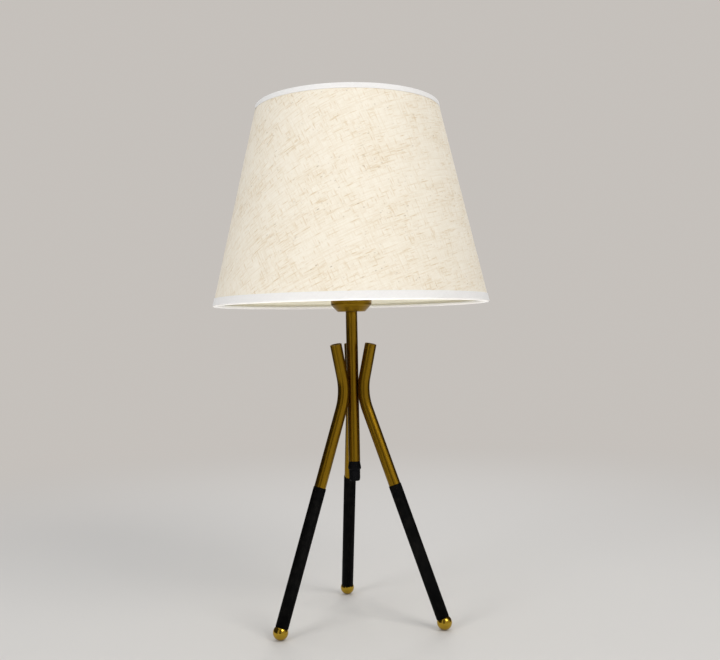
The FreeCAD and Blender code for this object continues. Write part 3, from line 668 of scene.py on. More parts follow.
def frosted(name):
    """Milky dome of the bulb."""
    made, tree, shader = material(name)
    marks = group(tree, PORES, Place=place_of(tree), Scale=2500.0)
    coat(tree, shader, mixed(tree, marks["Cloud"], (0.86, 0.86, 0.84), (0.93, 0.93, 0.92)),
         ranged(tree, marks["Cloud"], 0.3, 0.7, 0.28, 0.4), (marks["Cells"], 0.05, 0.02 * MM),
         Subsurface_Weight=0.3, Subsurface_Radius=(0.004, 0.004, 0.004))
    return made


# ---------------------------------------------------------------- finishes
ANTIQUE = brass("antique_brass", (0.155, 0.078, 0.004), (0.400, 0.238, 0.014), 1300.0, 0.25, 0.35)
ANTIQUE_PLAIN = brass("antique_brass_hidden", (0.060, 0.030, 0.006), (0.16, 0.090, 0.016),
                      900.0, 0.35, 0.5, mapped=False)
# Painted shade: the braze beads in the throat between the legs and the stem are brass, painted near black for the
# shade that falls there.
BRAZE_PAINTED_SHADE = moulded("braze_painted_shade", (0.018, 0.010, 0.003), (0.035, 0.019, 0.005), 0.6, 1200.0, 0.3, metallic=1.0)
POLISHED = brass("polished_brass", (0.38, 0.24, 0.020), (0.54, 0.36, 0.045), 500.0, 0.07, 0.14)
LEATHER = leather("black_leather")
GLAND_BLACK = moulded("gland_plastic", (0.0015, 0.0015, 0.0018), (0.003, 0.003, 0.0034), 0.45, 2200.0, 0.2,
                      shine=0.03)
RUBBER = moulded("seal_rubber", (0.010, 0.010, 0.010), (0.02, 0.02, 0.02), 0.7, 1500.0, 0.2)
HOLDER_WHITE = moulded("holder_plastic", (0.74, 0.73, 0.69), (0.79, 0.78, 0.75), 0.35, 1800.0, 0.08)
CERAMIC = moulded("terminal_ceramic", (0.66, 0.64, 0.58), (0.74, 0.72, 0.67), 0.5, 900.0, 0.2)
CONTACT = moulded("contact_brass", (0.62, 0.42, 0.12), (0.72, 0.52, 0.2), 0.3, 900.0, 0.1, metallic=1.0)
ZINC = moulded("zinc_steel", (0.46, 0.46, 0.47), (0.58, 0.58, 0.58), 0.35, 700.0, 0.15, metallic=1.0)
NICKEL = moulded("cap_nickel", (0.60, 0.58, 0.54), (0.70, 0.68, 0.64), 0.26, 700.0, 0.06, metallic=1.0)
TIP_GLASS = moulded("tip_glass", (0.006, 0.006, 0.008), (0.012, 0.012, 0.015), 0.12, 900.0, 0.03)
BOARD = moulded("board_aluminium", (0.66, 0.67, 0.68), (0.74, 0.75, 0.76), 0.45, 900.0, 0.1, metallic=1.0)
BULB_WHITE = moulded("bulb_white", (0.81, 0.81, 0.79), (0.83, 0.83, 0.81), 0.3, 1600.0, 0.02)
WIRE_WHITE = moulded("white_wire", (0.72, 0.71, 0.68), (0.80, 0.79, 0.76), 0.38, 1300.0, 0.15)
DOME = frosted("bulb_diffuser")
LINEN = cloth("linen", (0.93, 0.87, 0.755), (0.86, 0.785, 0.65), (0.60, 0.42, 0.19),
              (0.30, 0.20, 0.10), pitch=0.62 * MM, slub_length=14.0 * MM, shares=(0.60, 0.6, 0.24, 0.06))
# The linen's slubs show faintly through the lining.
LINING = cloth("shade_lining", (0.93, 0.90, 0.79), (0.88, 0.84, 0.70), (0.74, 0.66, 0.46),
               (0.60, 0.50, 0.34), pitch=0.5 * MM, slub_length=18.0 * MM, shares=(0.2, 0.1, 0.1, 0.05))
TAPE = cloth("white_tape", (0.90, 0.885, 0.865), (0.83, 0.81, 0.79), (0.76, 0.74, 0.71),
             (0.70, 0.68, 0.66), pitch=0.35 * MM, slub_length=9.0 * MM, shares=(0.2, 0.1, 0.1, 0.1),
             turn=math.radians(45), sheen=0.3)


# ---------------------------------------------------------------- stem and legs
def open_tube(name, at, start, end, columns=64, rows=1):
    """Tube with sawn ends along at(s), which gives (centre, tangent) in the XZ plane."""
    inner = TUBE_R - TUBE_WALL
    outside = [(start + (end - start) * step / rows, TUBE_R) for step in range(rows + 1)]
    inside = [(end + (start - end) * step / rows, inner) for step in range(rows + 1)]
    loop = [(start, TUBE_R - CUT_EDGE), (start + CUT_EDGE, TUBE_R)] + outside[1:-1]
    loop += [(end - CUT_EDGE, TUBE_R), (end, TUBE_R - CUT_EDGE)]
    loop += [(end, inner + CUT_EDGE), (end - CUT_EDGE, inner)]
    loop += inside[1:-1] + [(start + CUT_EDGE, inner), (start, inner + CUT_EDGE)]
    marks = lengths([Vector(step) for step in loop])

    def place(i, j):
        s, r = loop[j % len(loop)]
        centre, tangent = at(s)
        side = Vector((0, 1, 0))
        normal = tangent.cross(side)
        turn = 2 * math.pi * i / columns
        return centre + (normal * math.cos(turn) + side * math.sin(turn)) * r, (turn * TUBE_R, marks[j])

    return skin(name, columns, len(loop), place)


class LegLine:
    """Centreline of a leg in the XZ plane; s is the distance along it from the ball's centre."""

    def __init__(self):
        self.foot = Vector((FOOT_CIRCLE_R, 0, BALL_R))
        self.centre = Vector((2 * TUBE_R + SEATED + LEG_BEND_R, 0, THROAT_Z))
        to_foot = self.foot - self.centre
        slope = math.atan2(to_foot.z, to_foot.x) - math.acos(LEG_BEND_R / to_foot.length)
        self.arm = Vector((math.cos(slope), 0, math.sin(slope))) * LEG_BEND_R
        self.bend = slope + math.pi + LEG_TOP_LEAN
        self.low_bend = self.centre + self.arm
        self.up = (self.low_bend - self.foot).normalized()
        self.out = Vector((math.sin(LEG_TOP_LEAN), 0, math.cos(LEG_TOP_LEAN)))
        self.high_bend = self.centre + self.turned(self.arm, self.bend)
        self.lower = (self.low_bend - self.foot).length
        self.middle = LEG_BEND_R * self.bend
        self.upper = (LEG_TOP_Z - self.high_bend.z) / self.out.z
        self.length = self.lower + self.middle + self.upper

    @staticmethod
    def turned(way, angle):
        return Matrix.Rotation(angle, 3, "Y") @ way

    def at(self, s):
        if s <= self.lower:
            return self.foot + self.up * s, self.up
        if s >= self.lower + self.middle:
            return self.high_bend + self.out * (s - self.lower - self.middle), self.out
        angle = (s - self.lower) / LEG_BEND_R
        return self.centre + self.turned(self.arm, angle), self.turned(self.up, angle)


LEG = LegLine()


def make_stem():
    stem = open_tube("stem_tube_drawn", lambda s: (Vector((0, 0, s)), Vector((0, 0, 1))), STEM_LOW, STEM_HIGH)
    dress(stem, "base", ANTIQUE, "antique_brass", "stem_tube")


def leather_sleeve(name):
    """Leather strip wrapped edge to edge; the butt seam faces the stem."""
    inner = TUBE_R + SEATED
    outer = inner + SLEEVE_WALL
    start = math.sqrt(BALL_R ** 2 - inner ** 2) + TOUCH
    end = (SLEEVE_TOP_Z - LEG.foot.z) / LEG.up.z
    corners = rounded([(outer, start, 0.12 * MM), (outer, end, 0.12 * MM),
                       (inner, end, 0.1 * MM), (inner, start, 0.1 * MM)], 2)
    marks = lengths(corners)
    columns = 72
    side = Vector((0, 1, 0))
    normal = LEG.up.cross(side)

    def place(i, j):
        share = i / columns
        turn = SLEEVE_SEAM / 2 / outer + (2 * math.pi - SLEEVE_SEAM / outer) * share
        r, s = corners[j % len(corners)]
        from_seam = min(share, 1 - share) * 2 * math.pi * outer
        curl = SLEEVE_CURL * max(0.0, 1 - from_seam / SLEEVE_CURL_WIDE) ** 2 if r > inner else 0.0
        out = (normal * math.cos(turn) + side * math.sin(turn)) * (r - curl)
        return LEG.foot + LEG.up * s + out, (turn * outer, marks[j])

    return skin(name, columns, len(corners), place, around=False, fill_holes=True)


def foot_ball(name):
    """Turned ball with a flat that the tube stands on."""
    path = arc_points(0, BALL_R, -math.pi / 2, math.asin(TUBE_SEAT / BALL_R), 26)
    path.append(Vector((0, TUBE_SEAT)))
    ball = turned(name, path, 96, grain="around", sharp=30)
    lean = math.atan2(LEG.up.x, LEG.up.z)
    ball.data.transform(Matrix.Translation(LEG.foot) @ Matrix.Rotation(lean, 4, "Y"))
    return ball


def make_legs():
    for side, turn in SIDES.items():
        tube = open_tube("leg_tube_" + side + "_drawn", LEG.at, TUBE_SEAT, LEG.length, rows=110)
        sleeve = leather_sleeve("leather_sleeve_" + side + "_wrapped")
        ball = foot_ball("foot_ball_" + side + "_turned")
        for piece in (tube, sleeve, ball):
            about_stem(piece, turn)
        dress(tube, "base", ANTIQUE, "antique_brass", "leg_tube_" + side)
        dress(sleeve, "base", LEATHER, "black_leather", "leather_sleeve_" + side)
        dress(ball, "base", POLISHED, "polished_brass", "foot_ball_" + side)


# ---------------------------------------------------------------- geometry node trees
def finished(tree, geometry, finish):
    """Real copies with the finish on."""
    real = node(tree, "GeometryNodeRealizeInstances", {0: geometry})
    return node(tree, "GeometryNodeSetMaterial", {"Geometry": real.outputs[0], "Material": finish}).outputs[0]


def ribs_tree():
    """Copies of a rib on a circle about Z, each turned to face outwards."""
    tree, given, made = new_tree(
        "ribs_round_axis", "GeometryNodeTree",
        [("Rib", GEOMETRY), ("Count", INTEGER), ("Radius", FLOAT), ("Height", FLOAT), ("Finish", MATERIAL)],
        [("Ribs", GEOMETRY)])
    circle = node(tree, "GeometryNodeMeshCircle", {"Vertices": given["Count"], "Radius": given["Radius"]})
    place = tree.nodes.new("GeometryNodeInputPosition").outputs[0]
    facing = node(tree, "FunctionNodeAlignRotationToVector", {"Vector": place}, axis="X", pivot_axis="Z")
    copies = node(tree, "GeometryNodeInstanceOnPoints",
                  {"Points": circle.outputs[0], "Instance": given["Rib"], "Rotation": facing.outputs[0]})
    lift = node(tree, "ShaderNodeCombineXYZ", {2: given["Height"]})
    moved = node(tree, "GeometryNodeTranslateInstances",
                 {"Instances": copies.outputs[0], "Translation": lift.outputs[0], "Local Space": False})
    tree.links.new(finished(tree, moved.outputs[0], given["Finish"]), made["Ribs"])
    return tree


def wire_tree():
    """Round wire swept along the edges of a path."""
    tree, given, made = new_tree(
        "wire_on_path", "GeometryNodeTree",
        [("Path", GEOMETRY), ("Radius", FLOAT), ("Sides", INTEGER), ("Finish", MATERIAL)],
        [("Wire", GEOMETRY)])
    line = node(tree, "GeometryNodeMeshToCurve", {0: given["Path"]})
    section = node(tree, "GeometryNodeCurvePrimitiveCircle",
                   {"Resolution": given["Sides"], "Radius": given["Radius"]})
    swept = node(tree, "GeometryNodeCurveToMesh",
                 {"Curve": line.outputs[0], "Profile Curve": section.outputs[0], "Fill Caps": True})
    smoothed = node(tree, "GeometryNodeSetShadeSmooth", {"Geometry": swept.outputs[0]})
    tree.links.new(finished(tree, smoothed.outputs[0], given["Finish"]), made["Wire"])
    return tree


RIBS = ribs_tree()
WIRE = wire_tree()


def grown(name, mesh, tree, **values):
    """Plain mesh that a geometry node tree makes from another mesh."""
    source = link(name + "_source", mesh)
    modifier = source.modifiers.new(name, "NODES")
    modifier.node_group = tree
    sockets = {item.name: item.identifier for item in tree.interface.items_tree
               if item.item_type == "SOCKET" and item.in_out == "INPUT"}
    for key, value in values.items():
        modifier[sockets[key]] = value
    bpy.context.view_layer.update()
    evaluated = source.evaluated_get(bpy.context.evaluated_depsgraph_get())
    plain = bpy.data.meshes.new_from_object(evaluated)
    source.modifiers.remove(modifier)
    bpy.data.objects.remove(source)
    clean(plain)
    plain.polygons.foreach_set("use_smooth", [True] * len(plain.polygons))
    plain.set_sharp_from_angle(angle=math.radians(40))
    return link(name, plain)


def rod_mesh(name, radius, height, sides=10):
    mesh = bpy.data.meshes.new(name)
    work = bmesh.new()
    bmesh.ops.create_cone(work, cap_ends=True, segments=sides, radius1=radius, radius2=radius, depth=height)
    work.to_mesh(mesh)
    work.free()
    return mesh


def path_mesh(name, points, closed=False):
    mesh = bpy.data.meshes.new(name)
    edges = [(i, i + 1) for i in range(len(points) - 1)]
    if closed:
        edges.append((len(points) - 1, 0))
    mesh.from_pydata(points, edges, [])
    return mesh


# ---------------------------------------------------------------- gland
def make_gland():
    foot, top = span("gland_body")
    widest = high("gland_body").x
    nut_foot, nut_top = span("gland_nut")
    collar = nut_top + SEATED
    body = rounded([
        (GLAND_BORE_R, top), (GLAND_BORE_R, foot), (GLAND_SPIGOT_R, foot),
        (GLAND_SPIGOT_R, collar), (NUT_R, collar, 0.3 * MM),
        (widest, STEM_LOW - GLAND_BAND_FOOT, 0.8 * MM), (widest, STEM_LOW - GLAND_BAND_TOP, 1.2 * MM),
        (GLAND_TOP_R, STEM_LOW, 0.25 * MM), (GLAND_SCREW_R, STEM_LOW), (GLAND_SCREW_R, top)])
    dress(turned("gland_body_moulded", body, 96), "base", GLAND_BLACK, "gland_plastic", "gland_body")
    floor = nut_foot + NUT_FLOOR
    nut = rounded([
        (CORD_HOLE_R, nut_foot, 0.4 * MM), (NUT_TIP_R, nut_foot, 0.9 * MM), (NUT_R, nut_top, 0.25 * MM),
        (NUT_BORE_R, nut_top), (NUT_BORE_R, floor), (CORD_HOLE_R, floor)])
    dress(turned("gland_nut_moulded", nut, 96), "base", GLAND_BLACK, "gland_plastic", "gland_nut")
    rib = rod_mesh("gland_rib", NUT_RIB_R, nut_top - nut_foot - NUT_RIB_SHORTER)
    ribs = grown("gland_nut_ribs", rib, RIBS, Count=NUT_RIBS, Radius=NUT_RIB_CIRCLE_R,
                 Height=(nut_top + nut_foot) / 2 + NUT_RIB_RISE, Finish=GLAND_BLACK)
    dress(ribs, "base", GLAND_BLACK, "gland_plastic")


# ---------------------------------------------------------------- cup and lampholder
def make_cup():
    floor = STEM_HIGH
    shoulder = floor + CUP_SHOULDER_H
    top = high("cup").z
    inner = CUP_R - CUP_WALL
    path = rounded([
        (CUP_HOLE_R, floor), (CUP_FLOOR_R, floor, CUP_FLOOR_FILLET), (CUP_R, shoulder, CUP_SHOULDER_FILLET),
        (CUP_R, top, 0.3 * MM), (inner, top, 0.3 * MM),
        (inner, shoulder + CUP_WALL / 2, CUP_SHOULDER_FILLET - CUP_WALL),
        (CUP_FLOOR_R - CUP_WALL / 2, floor + CUP_WALL, CUP_FLOOR_FILLET - CUP_WALL),
        (CUP_HOLE_R, floor + CUP_WALL)], 10)
    dress(turned("cup_spun", path, 160, grain="around"), "base", ANTIQUE, "antique_brass", "cup")


def screw_wave(radius, pitch, depth, bottom, top):
    """Round helical thread cut inwards from a radius, fading out at its ends."""
    def shift(turn, r, z):
        if abs(r - radius) > THREAD_REACH:
            return 0.0
        fade = min(1.0, max(0.0, (z - bottom) / pitch), max(0.0, (top - z) / pitch))
        wave = 0.5 - 0.5 * math.cos(2 * math.pi * z / pitch - turn)
        return -depth * fade * wave
    return shift


def make_skirt():
    """Threaded skirt of the lampholder, with the flange that rests on the cup."""
    bottom, top = span("holder_skirt")
    flange_low = high("cup").z
    flange_top = flange_low + SKIRT_FLANGE_T
    flange_r = high("holder_skirt").x
    bore = SKIRT_R - SKIRT_WALL
    lip = top - SKIRT_LIP_T
    web = bottom + SKIRT_WEB_T
    path = rounded([
        (SKIRT_WEB_R, bottom), (SKIRT_SPIGOT_R, bottom), (SKIRT_SPIGOT_R, flange_low),
        (flange_r, flange_low, 0.5 * MM), (flange_r, flange_top, 0.6 * MM), (SKIRT_R, flange_top)])
    path += stretch(SKIRT_R, flange_top + 0.2 * MM, top - 1.2 * MM, 0.28 * MM)
    path += rounded([
        (SKIRT_R - 0.3 * MM, top - 0.4 * MM), (SKIRT_R - 0.9 * MM, top), (SKIRT_LIP_R, top),
        (SKIRT_LIP_R, lip), (bore, lip), (bore, web), (SKIRT_WEB_R, web)])
    wave = screw_wave(SKIRT_R, SKIRT_PITCH, SKIRT_THREAD_DEPTH, flange_top, top - 1.0 * MM)
    skirt = turned("holder_skirt_moulded", path, 120, wave, sharp=40)
    dress(skirt, "base", HOLDER_WHITE, "holder_plastic", "holder_skirt")


def make_ring():
    """Ring with a gripping hub that clamps the shade's fitter on the skirt."""
    foot, top = span("shade_ring")
    flange = foot + RING_FLANGE_T
    flange_r = high("shade_ring").x
    bore = SKIRT_R + RUNNING

    def scallop(turn, r, z):
        if r < RING_HUB_R - GRIP_R or z < flange + 0.1 * MM:
            return 0.0
        off = (turn * RING_GRIPS / (2 * math.pi) + 0.5) % 1.0 - 0.5
        reach = abs(off) * 2 * math.pi * RING_HUB_R / RING_GRIPS
        return -max(0.0, math.sqrt(max(0.0, GRIP_R ** 2 - reach ** 2)) - GRIP_OUT)

    path = rounded([
        (bore, foot), (flange_r, foot, 0.3 * MM), (flange_r, flange, 0.9 * MM),
        (RING_HUB_R, flange, 0.2 * MM), (RING_HUB_R, top, 0.7 * MM), (bore, top, 0.3 * MM)])
    ring = turned("shade_ring_moulded", path, 240, scallop, sharp=50)
    dress(ring, "shade_ring", HOLDER_WHITE, "holder_plastic", "shade_ring")


# ---------------------------------------------------------------- bulb
def make_dome():
    rim = low("bulb_diffuser").z
    centre = high("bulb_diffuser").z - BULB_R
    inner = BULB_R - BULB_WALL
    start = math.asin((rim - centre) / BULB_R)
    back = math.asin((rim - centre) / inner)
    path = arc_points(centre, BULB_R, start, math.pi / 2, 28)
    path += arc_points(centre, inner, math.pi / 2, back, 24)
    dress(turned("bulb_dome", path, 128), "bulb", DOME, "bulb_diffuser", "bulb_diffuser")


def make_housing():
    """Bell of the bulb, from the neck over the screw cap to the rim under the dome."""
    foot, top = span("bulb_housing")
    rim_r = high("bulb_housing").x
    cap_top = high("bulb_screw_cap").z
    over_cap = cap_top + TOUCH
    cap_r = BULB_CAP_R + TOUCH
    waist = cap_top + BULB_NECK_H
    ledge = top - BULB_LEDGE_DROP
    bore = rim_r - BULB_WALL
    neck = BULB_NECK_R - BULB_WALL
    path = rounded([
        (cap_r, foot), (BULB_NECK_R, foot, 0.5 * MM), (BULB_NECK_R, waist, BULB_WAIST_R),
        (rim_r, top - BULB_RIM_H, BULB_SHOULDER_R), (rim_r, top, 0.3 * MM), (bore, top), (bore, ledge),
        (BULB_LEDGE_R, ledge), (BULB_LEDGE_R, ledge - BULB_WALL), (neck, waist + BULB_WALL),
        (neck, over_cap), (cap_r, over_cap)], 10)
    dress(turned("bulb_housing_moulded", path, 128), "bulb", BULB_WHITE, "bulb_white", "bulb_housing")


def make_screw_cap():
    foot, top = span("bulb_screw_cap")
    cone = foot + BULB_CAP_CONE_H
    path = rounded([(BULB_CAP_MOUTH_R, foot), (BULB_CAP_R - 0.5 * MM, cone - 0.2 * MM)])
    path += stretch(BULB_CAP_R, cone + 0.2 * MM, top, 0.3 * MM)
    path += stretch(BULB_CAP_R - BULB_CAP_WALL, top, cone + 0.4 * MM, 0.3 * MM)
    path.append(Vector((BULB_CAP_MOUTH_R, foot + BULB_CAP_WALL)))
    wave = screw_wave(BULB_CAP_R, BULB_PITCH, BULB_THREAD_DEPTH, cone + 0.5 * MM, top - 2.5 * MM)
    cap = turned("bulb_screw_cap_rolled", path, 96, wave, sharp=50)
    dress(cap, "bulb", NICKEL, "cap_nickel", "bulb_screw_cap")


def make_tip():
    foot, top = span("bulb_tip_contact")
    tip_r = high("bulb_tip_contact").x
    path = rounded([(0, foot), (tip_r, foot, 0.5 * MM), (tip_r, top), (0, top)])
    dress(turned("bulb_tip_pressed", path, 48), "bulb_carriage", NICKEL, "cap_nickel", "bulb_tip_contact")


# ---------------------------------------------------------------- shade
def shade_r(z):
    """Outer radius of the cover at a height."""
    return SHADE_R_LOW - TAPER * (z - SHADE_LOW)


def flat(turn, r):
    """Place on the cloth as it lay flat, its threads straight; turn is counted from the seam."""
    reach = r / CONE_SIN
    angle = (turn + math.radians(SEAM_TURN - 360 - GRAIN_TURN)) * CONE_SIN
    return reach * math.sin(angle), -reach * math.cos(angle)


def smooth(share):
    """Slow start and end between 0 and 1."""
    share = min(1.0, max(0.0, share))
    return share * share * (3 - 2 * share)


def seam_lift(turn, r):
    """Rise of what lies over the cover's glued overlap; turn is counted from the seam."""
    past = abs((turn + math.pi) % (2 * math.pi) - math.pi) * r
    return COVER_T * smooth((OVERLAP / 2 + RAMP - past) / RAMP)


def ring_place(edge, into):
    """Radius and height of a wire ring's centre; into is 1 at the lower edge and -1 at the upper."""
    z = edge + into * RING_INSET
    inside = shade_r(z) - (COVER_T + LINER_T) * SLOPE - 2 * TOUCH
    return inside - WIRE_R * SLOPE - TOUCH, z


def round_stem(r, azimuth, z):
    return Vector((r * math.cos(azimuth), r * math.sin(azimuth), z))


def make_cover():
    """Linen rolled into a cone, its ends glued one over the other at the rear left."""
    columns = 240
    half_lap = OVERLAP / 2 / SHADE_R_LOW
    level = COVER_T * SLOPE
    loop = [(0.0, SHADE_LOW), (0.0, SHADE_HIGH), (level, SHADE_HIGH), (level, SHADE_LOW)]

    def place(i, j):
        turn = -half_lap + (2 * math.pi + 2 * half_lap) * i / columns
        inset, z = loop[j % len(loop)]
        r = shade_r(z)
        past_start = (turn - 2 * math.pi) * r
        lift = (COVER_T + SEATED) * smooth((past_start + OVERLAP / 2 + RAMP) / RAMP)
        return round_stem(r - inset + lift, turn + math.radians(SEAM_TURN), z), flat(turn, r)

    cover = skin("shade_cover_linen", columns, len(loop), place, around=False, fill_holes=True)
    return dress(cover, "shade", LINEN, "linen", "shade_cover")


def declare_cover(cover, tapes):
    """The linen was cut as part of a flat ring: the cone unrolled, with its overlap."""
    far, near = SHADE_R_LOW / CONE_SIN, SHADE_R_HIGH / CONE_SIN
    half = (math.pi + OVERLAP / 2 / SHADE_R_LOW) * CONE_SIN
    cut = (2 * far * math.sin(half), far - near * math.cos(half))
    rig.sheet(cover, flat=cut, held="stretched", rests_on=["shade_lining_sheet"],
             area=half * (far ** 2 - near ** 2), with_pieces=tapes)


def make_liner():
    columns = 200
    outside = COVER_T * SLOPE + TOUCH
    inside = outside + LINER_T * SLOPE
    loop = [(outside, SHADE_LOW), (outside, SHADE_HIGH), (inside, SHADE_HIGH), (inside, SHADE_LOW)]

    def place(i, j):
        turn = 2 * math.pi * i / columns
        inset, z = loop[j % len(loop)]
        out = shade_r(z) - inset
        return round_stem(out, turn + math.radians(SEAM_TURN), z), flat(turn, out)

    liner = skin("shade_lining_sheet", columns, len(loop), place)
    dress(liner, "shade", LINING, "shade_lining", "shade_liner")


def make_tape(name, edge, into, height, lip, node_name):
    """Bias tape folded over an edge and round its wire, with a hem and a lapped joint."""
    ring_r, ring_z = ring_place(edge, into)
    columns = 288
    far = edge + into * height
    hem = far - into * TAPE_HEM
    below_hem = far - into * TAPE_HEM * 1.3
    fold = edge - into * SEATED
    under = fold - into * TAPE_T
    lip_z = ring_z + into * lip
    outside = shade_r(fold) + SEATED
    inner = ring_r - WIRE_R - SEATED
    path = rounded([
        (shade_r(far) + SEATED, far),
        (shade_r(far) + SEATED + TAPE_T, far, 0.2 * MM),
        (shade_r(hem) + SEATED + TAPE_T, hem, 0.3 * MM),
        (shade_r(below_hem) + SEATED + TAPE_T * 0.8, below_hem, 0.3 * MM),
        (outside + TAPE_T, under, 1.5 * MM),
        (inner - TAPE_T, under, 1.5 * MM),
        (inner - TAPE_T, lip_z, 0.15 * MM),
        (inner, lip_z),
        (inner, fold, 0.9 * MM),
        (outside, fold, 0.3 * MM)], 4)
    marks = lengths(path)

    def place(i, j):
        turn = 2 * math.pi * i / columns
        r, z = path[j % len(path)]
        past = abs(turn - math.radians(JOINT_TURN)) * r
        lap = JOINT_RISE * smooth((JOINT_LAP / 2 + JOINT_RAMP - past) / JOINT_RAMP)
        out = r + (seam_lift(turn, r) + lap if r > shade_r(z) else 0.0)
        return round_stem(out, turn + math.radians(SEAM_TURN), z), (turn * ring_r, marks[j])

    return dress(skin(name, columns, len(path), place, sharp=50), "shade", TAPE, "white_tape", node_name)


def make_wire_rings():
    for name, edge, into in (("bottom_wire_ring", SHADE_LOW, 1), ("top_wire_ring", SHADE_HIGH, -1)):
        ring_r, z = ring_place(edge, into)
        points = [round_stem(ring_r, math.radians(degrees), z) for degrees in range(0, 360, 2)]
        wire = grown(name + "_drawn", path_mesh(name, points, closed=True), WIRE, Radius=WIRE_R, Sides=16,
                     Finish=WIRE_WHITE)
        dress(wire, "shade", WIRE_WHITE, "white_wire", name)


def make_arms():
    """Arms welded under the fitter, level at first and then bent down to the lower wire ring."""
    ring_r, ring_z = ring_place(SHADE_LOW, 1)
    fitter_r = high("fitter_ring").x
    level = low("fitter_ring").z - WIRE_R - TOUCH
    start = Vector((fitter_r - ARM_LAP, 0, level))
    knee = Vector((fitter_r + ARM_LEVEL, 0, level))
    end = Vector((ring_r, 0, ring_z))
    drop = math.atan2(knee.z - end.z, end.x - knee.x)
    bend_start = knee.x - ARM_BEND_R * math.tan(drop / 2)
    steps = 8
    points = [start]
    for step in range(steps + 1):
        angle = drop * step / steps
        points.append(Vector((bend_start + ARM_BEND_R * math.sin(angle), 0,
                              level - ARM_BEND_R + ARM_BEND_R * math.cos(angle))))
    points.append(end - (end - knee).normalized() * (WIRE_R + TOUCH))
    for side, turn in SIDES.items():
        arm = grown("spider_arm_" + side + "_bent", path_mesh("arm", points), WIRE, Radius=WIRE_R, Sides=20,
                    Finish=WIRE_WHITE)
        about_stem(arm, turn)
        dress(arm, "shade", WIRE_WHITE, "white_wire", "spider_arm_" + side)


def make_fitter():
    foot, top = span("fitter_ring")
    fitter_r = high("fitter_ring").x
    bore = SKIRT_R + RUNNING
    path = rounded([(bore, foot, 0.4 * MM), (fitter_r, foot, 0.5 * MM), (fitter_r, top, 0.5 * MM),
                    (bore, top, 0.4 * MM)])
    dress(turned("fitter_ring_pressed", path, 128), "shade", WIRE_WHITE, "white_wire", "fitter_ring")


# ---------------------------------------------------------------- nodes that stay as they are
KEPT = {
    "antique_brass": ANTIQUE_PLAIN, "gland_plastic": GLAND_BLACK, "seal_rubber": RUBBER,
    "holder_plastic": HOLDER_WHITE, "terminal_ceramic": CERAMIC, "contact_brass": CONTACT,
    "zinc_steel": ZINC, "cap_nickel": NICKEL, "tip_glass": TIP_GLASS, "board_aluminium": BOARD,
    "polished_brass": POLISHED, "white_wire": WIRE_WHITE, "bulb_white": BULB_WHITE,
}


def paint_kept_nodes():
    slots = {part["node"]: part["material_slot"] for part in frame["record"]["subparts"]}
    for name, piece in frame["nodes"].items():
        if piece.hide_render:
            continue
        # The braze beads take the painted shade of the throat instead of the brass of their slot.
        finish = BRAZE_PAINTED_SHADE if name == "braze_beads" else KEPT[slots[name]]
        for index in range(len(piece.material_slots)):
            piece.material_slots[index].material = finish


# ---------------------------------------------------------------- studio
PICTURE_W = 720
SENSOR = 36.0
FOCAL_PX = 894.3
CAMERA_SIDE = 9.0 * MM
CAMERA_BACK = 981.6 * MM
CAMERA_HEIGHT = 315.4 * MM
CAMERA_PITCH = math.radians(0.144)
CAMERA_ROLL = math.radians(1.176)
CAMERA_YAW = math.radians(7.27)
BACKDROP = (0.56, 0.53, 0.50, 1)
FLOOR_COLOUR = (0.66, 0.64, 0.615, 1)
FLOOR_R = 6.0
FADE = (0.35, 1.6)            # distances between which the floor turns into the backdrop
DAYLIGHT = (0.95, 0.97, 1.0, 1)
DAYLIGHT_STRENGTH = 0.55
FLAG_R = 0.8
FLAG_H = 1.3
FLAG_STEPS = 12
# Start and end, in degrees from the camera's side, and how grey each board is
FLAGS = {"left": (-150.0, -44.0, 0.05), "front": (-20.0, 6.0, 0.16), "right": (84.0, 150.0, 0.05)}


def make_camera():
    data = bpy.data.cameras.new("camera")
    data.sensor_width = SENSOR
    data.lens = FOCAL_PX * SENSOR / PICTURE_W
    camera = link("camera", data)
    cos, sin = math.cos(CAMERA_YAW), math.sin(CAMERA_YAW)
    camera_place = Vector((CAMERA_SIDE * cos - CAMERA_BACK * sin, -CAMERA_SIDE * sin - CAMERA_BACK * cos,
                           CAMERA_HEIGHT))
    ahead = Vector((sin * math.cos(CAMERA_PITCH), cos * math.cos(CAMERA_PITCH), math.sin(CAMERA_PITCH)))
    right = Vector((cos, -sin, 0))
    above = right.cross(ahead)
    tilt, lean = math.cos(CAMERA_ROLL), math.sin(CAMERA_ROLL)
    axes = (right * tilt - above * lean, right * lean + above * tilt, -ahead)
    turn = Matrix((axes[0], axes[1], axes[2])).transposed()
    camera.matrix_world = Matrix.Translation(camera_place) @ turn.to_4x4()
    bpy.context.scene.camera = camera


def lamp(name, place, size, watts, colour=(1.0, 1.0, 1.0), aim=(0, 0, 0.28), shine=True):
    """Soft rectangular lamp; without shine it shows in no reflection."""
    data = bpy.data.lights.new(name, "AREA")
    data.shape = "RECTANGLE"
    data.size, data.size_y = size
    data.energy = watts
    data.color = colour
    light = link(name, data)
    light.location = place
    light.rotation_euler = (Vector(aim) - Vector(place)).to_track_quat("-Z", "Y").to_euler()
    light.visible_camera = False
    light.visible_glossy = shine


def seen_rays(tree):
    """1 for what the camera, metal and glass see, and 0 for light."""
    rays = tree.nodes.new("ShaderNodeLightPath").outputs
    return maths(tree, "MAXIMUM", rays["Is Camera Ray"],
                 maths(tree, "MAXIMUM", rays["Is Glossy Ray"], rays["Is Transmission Ray"]))


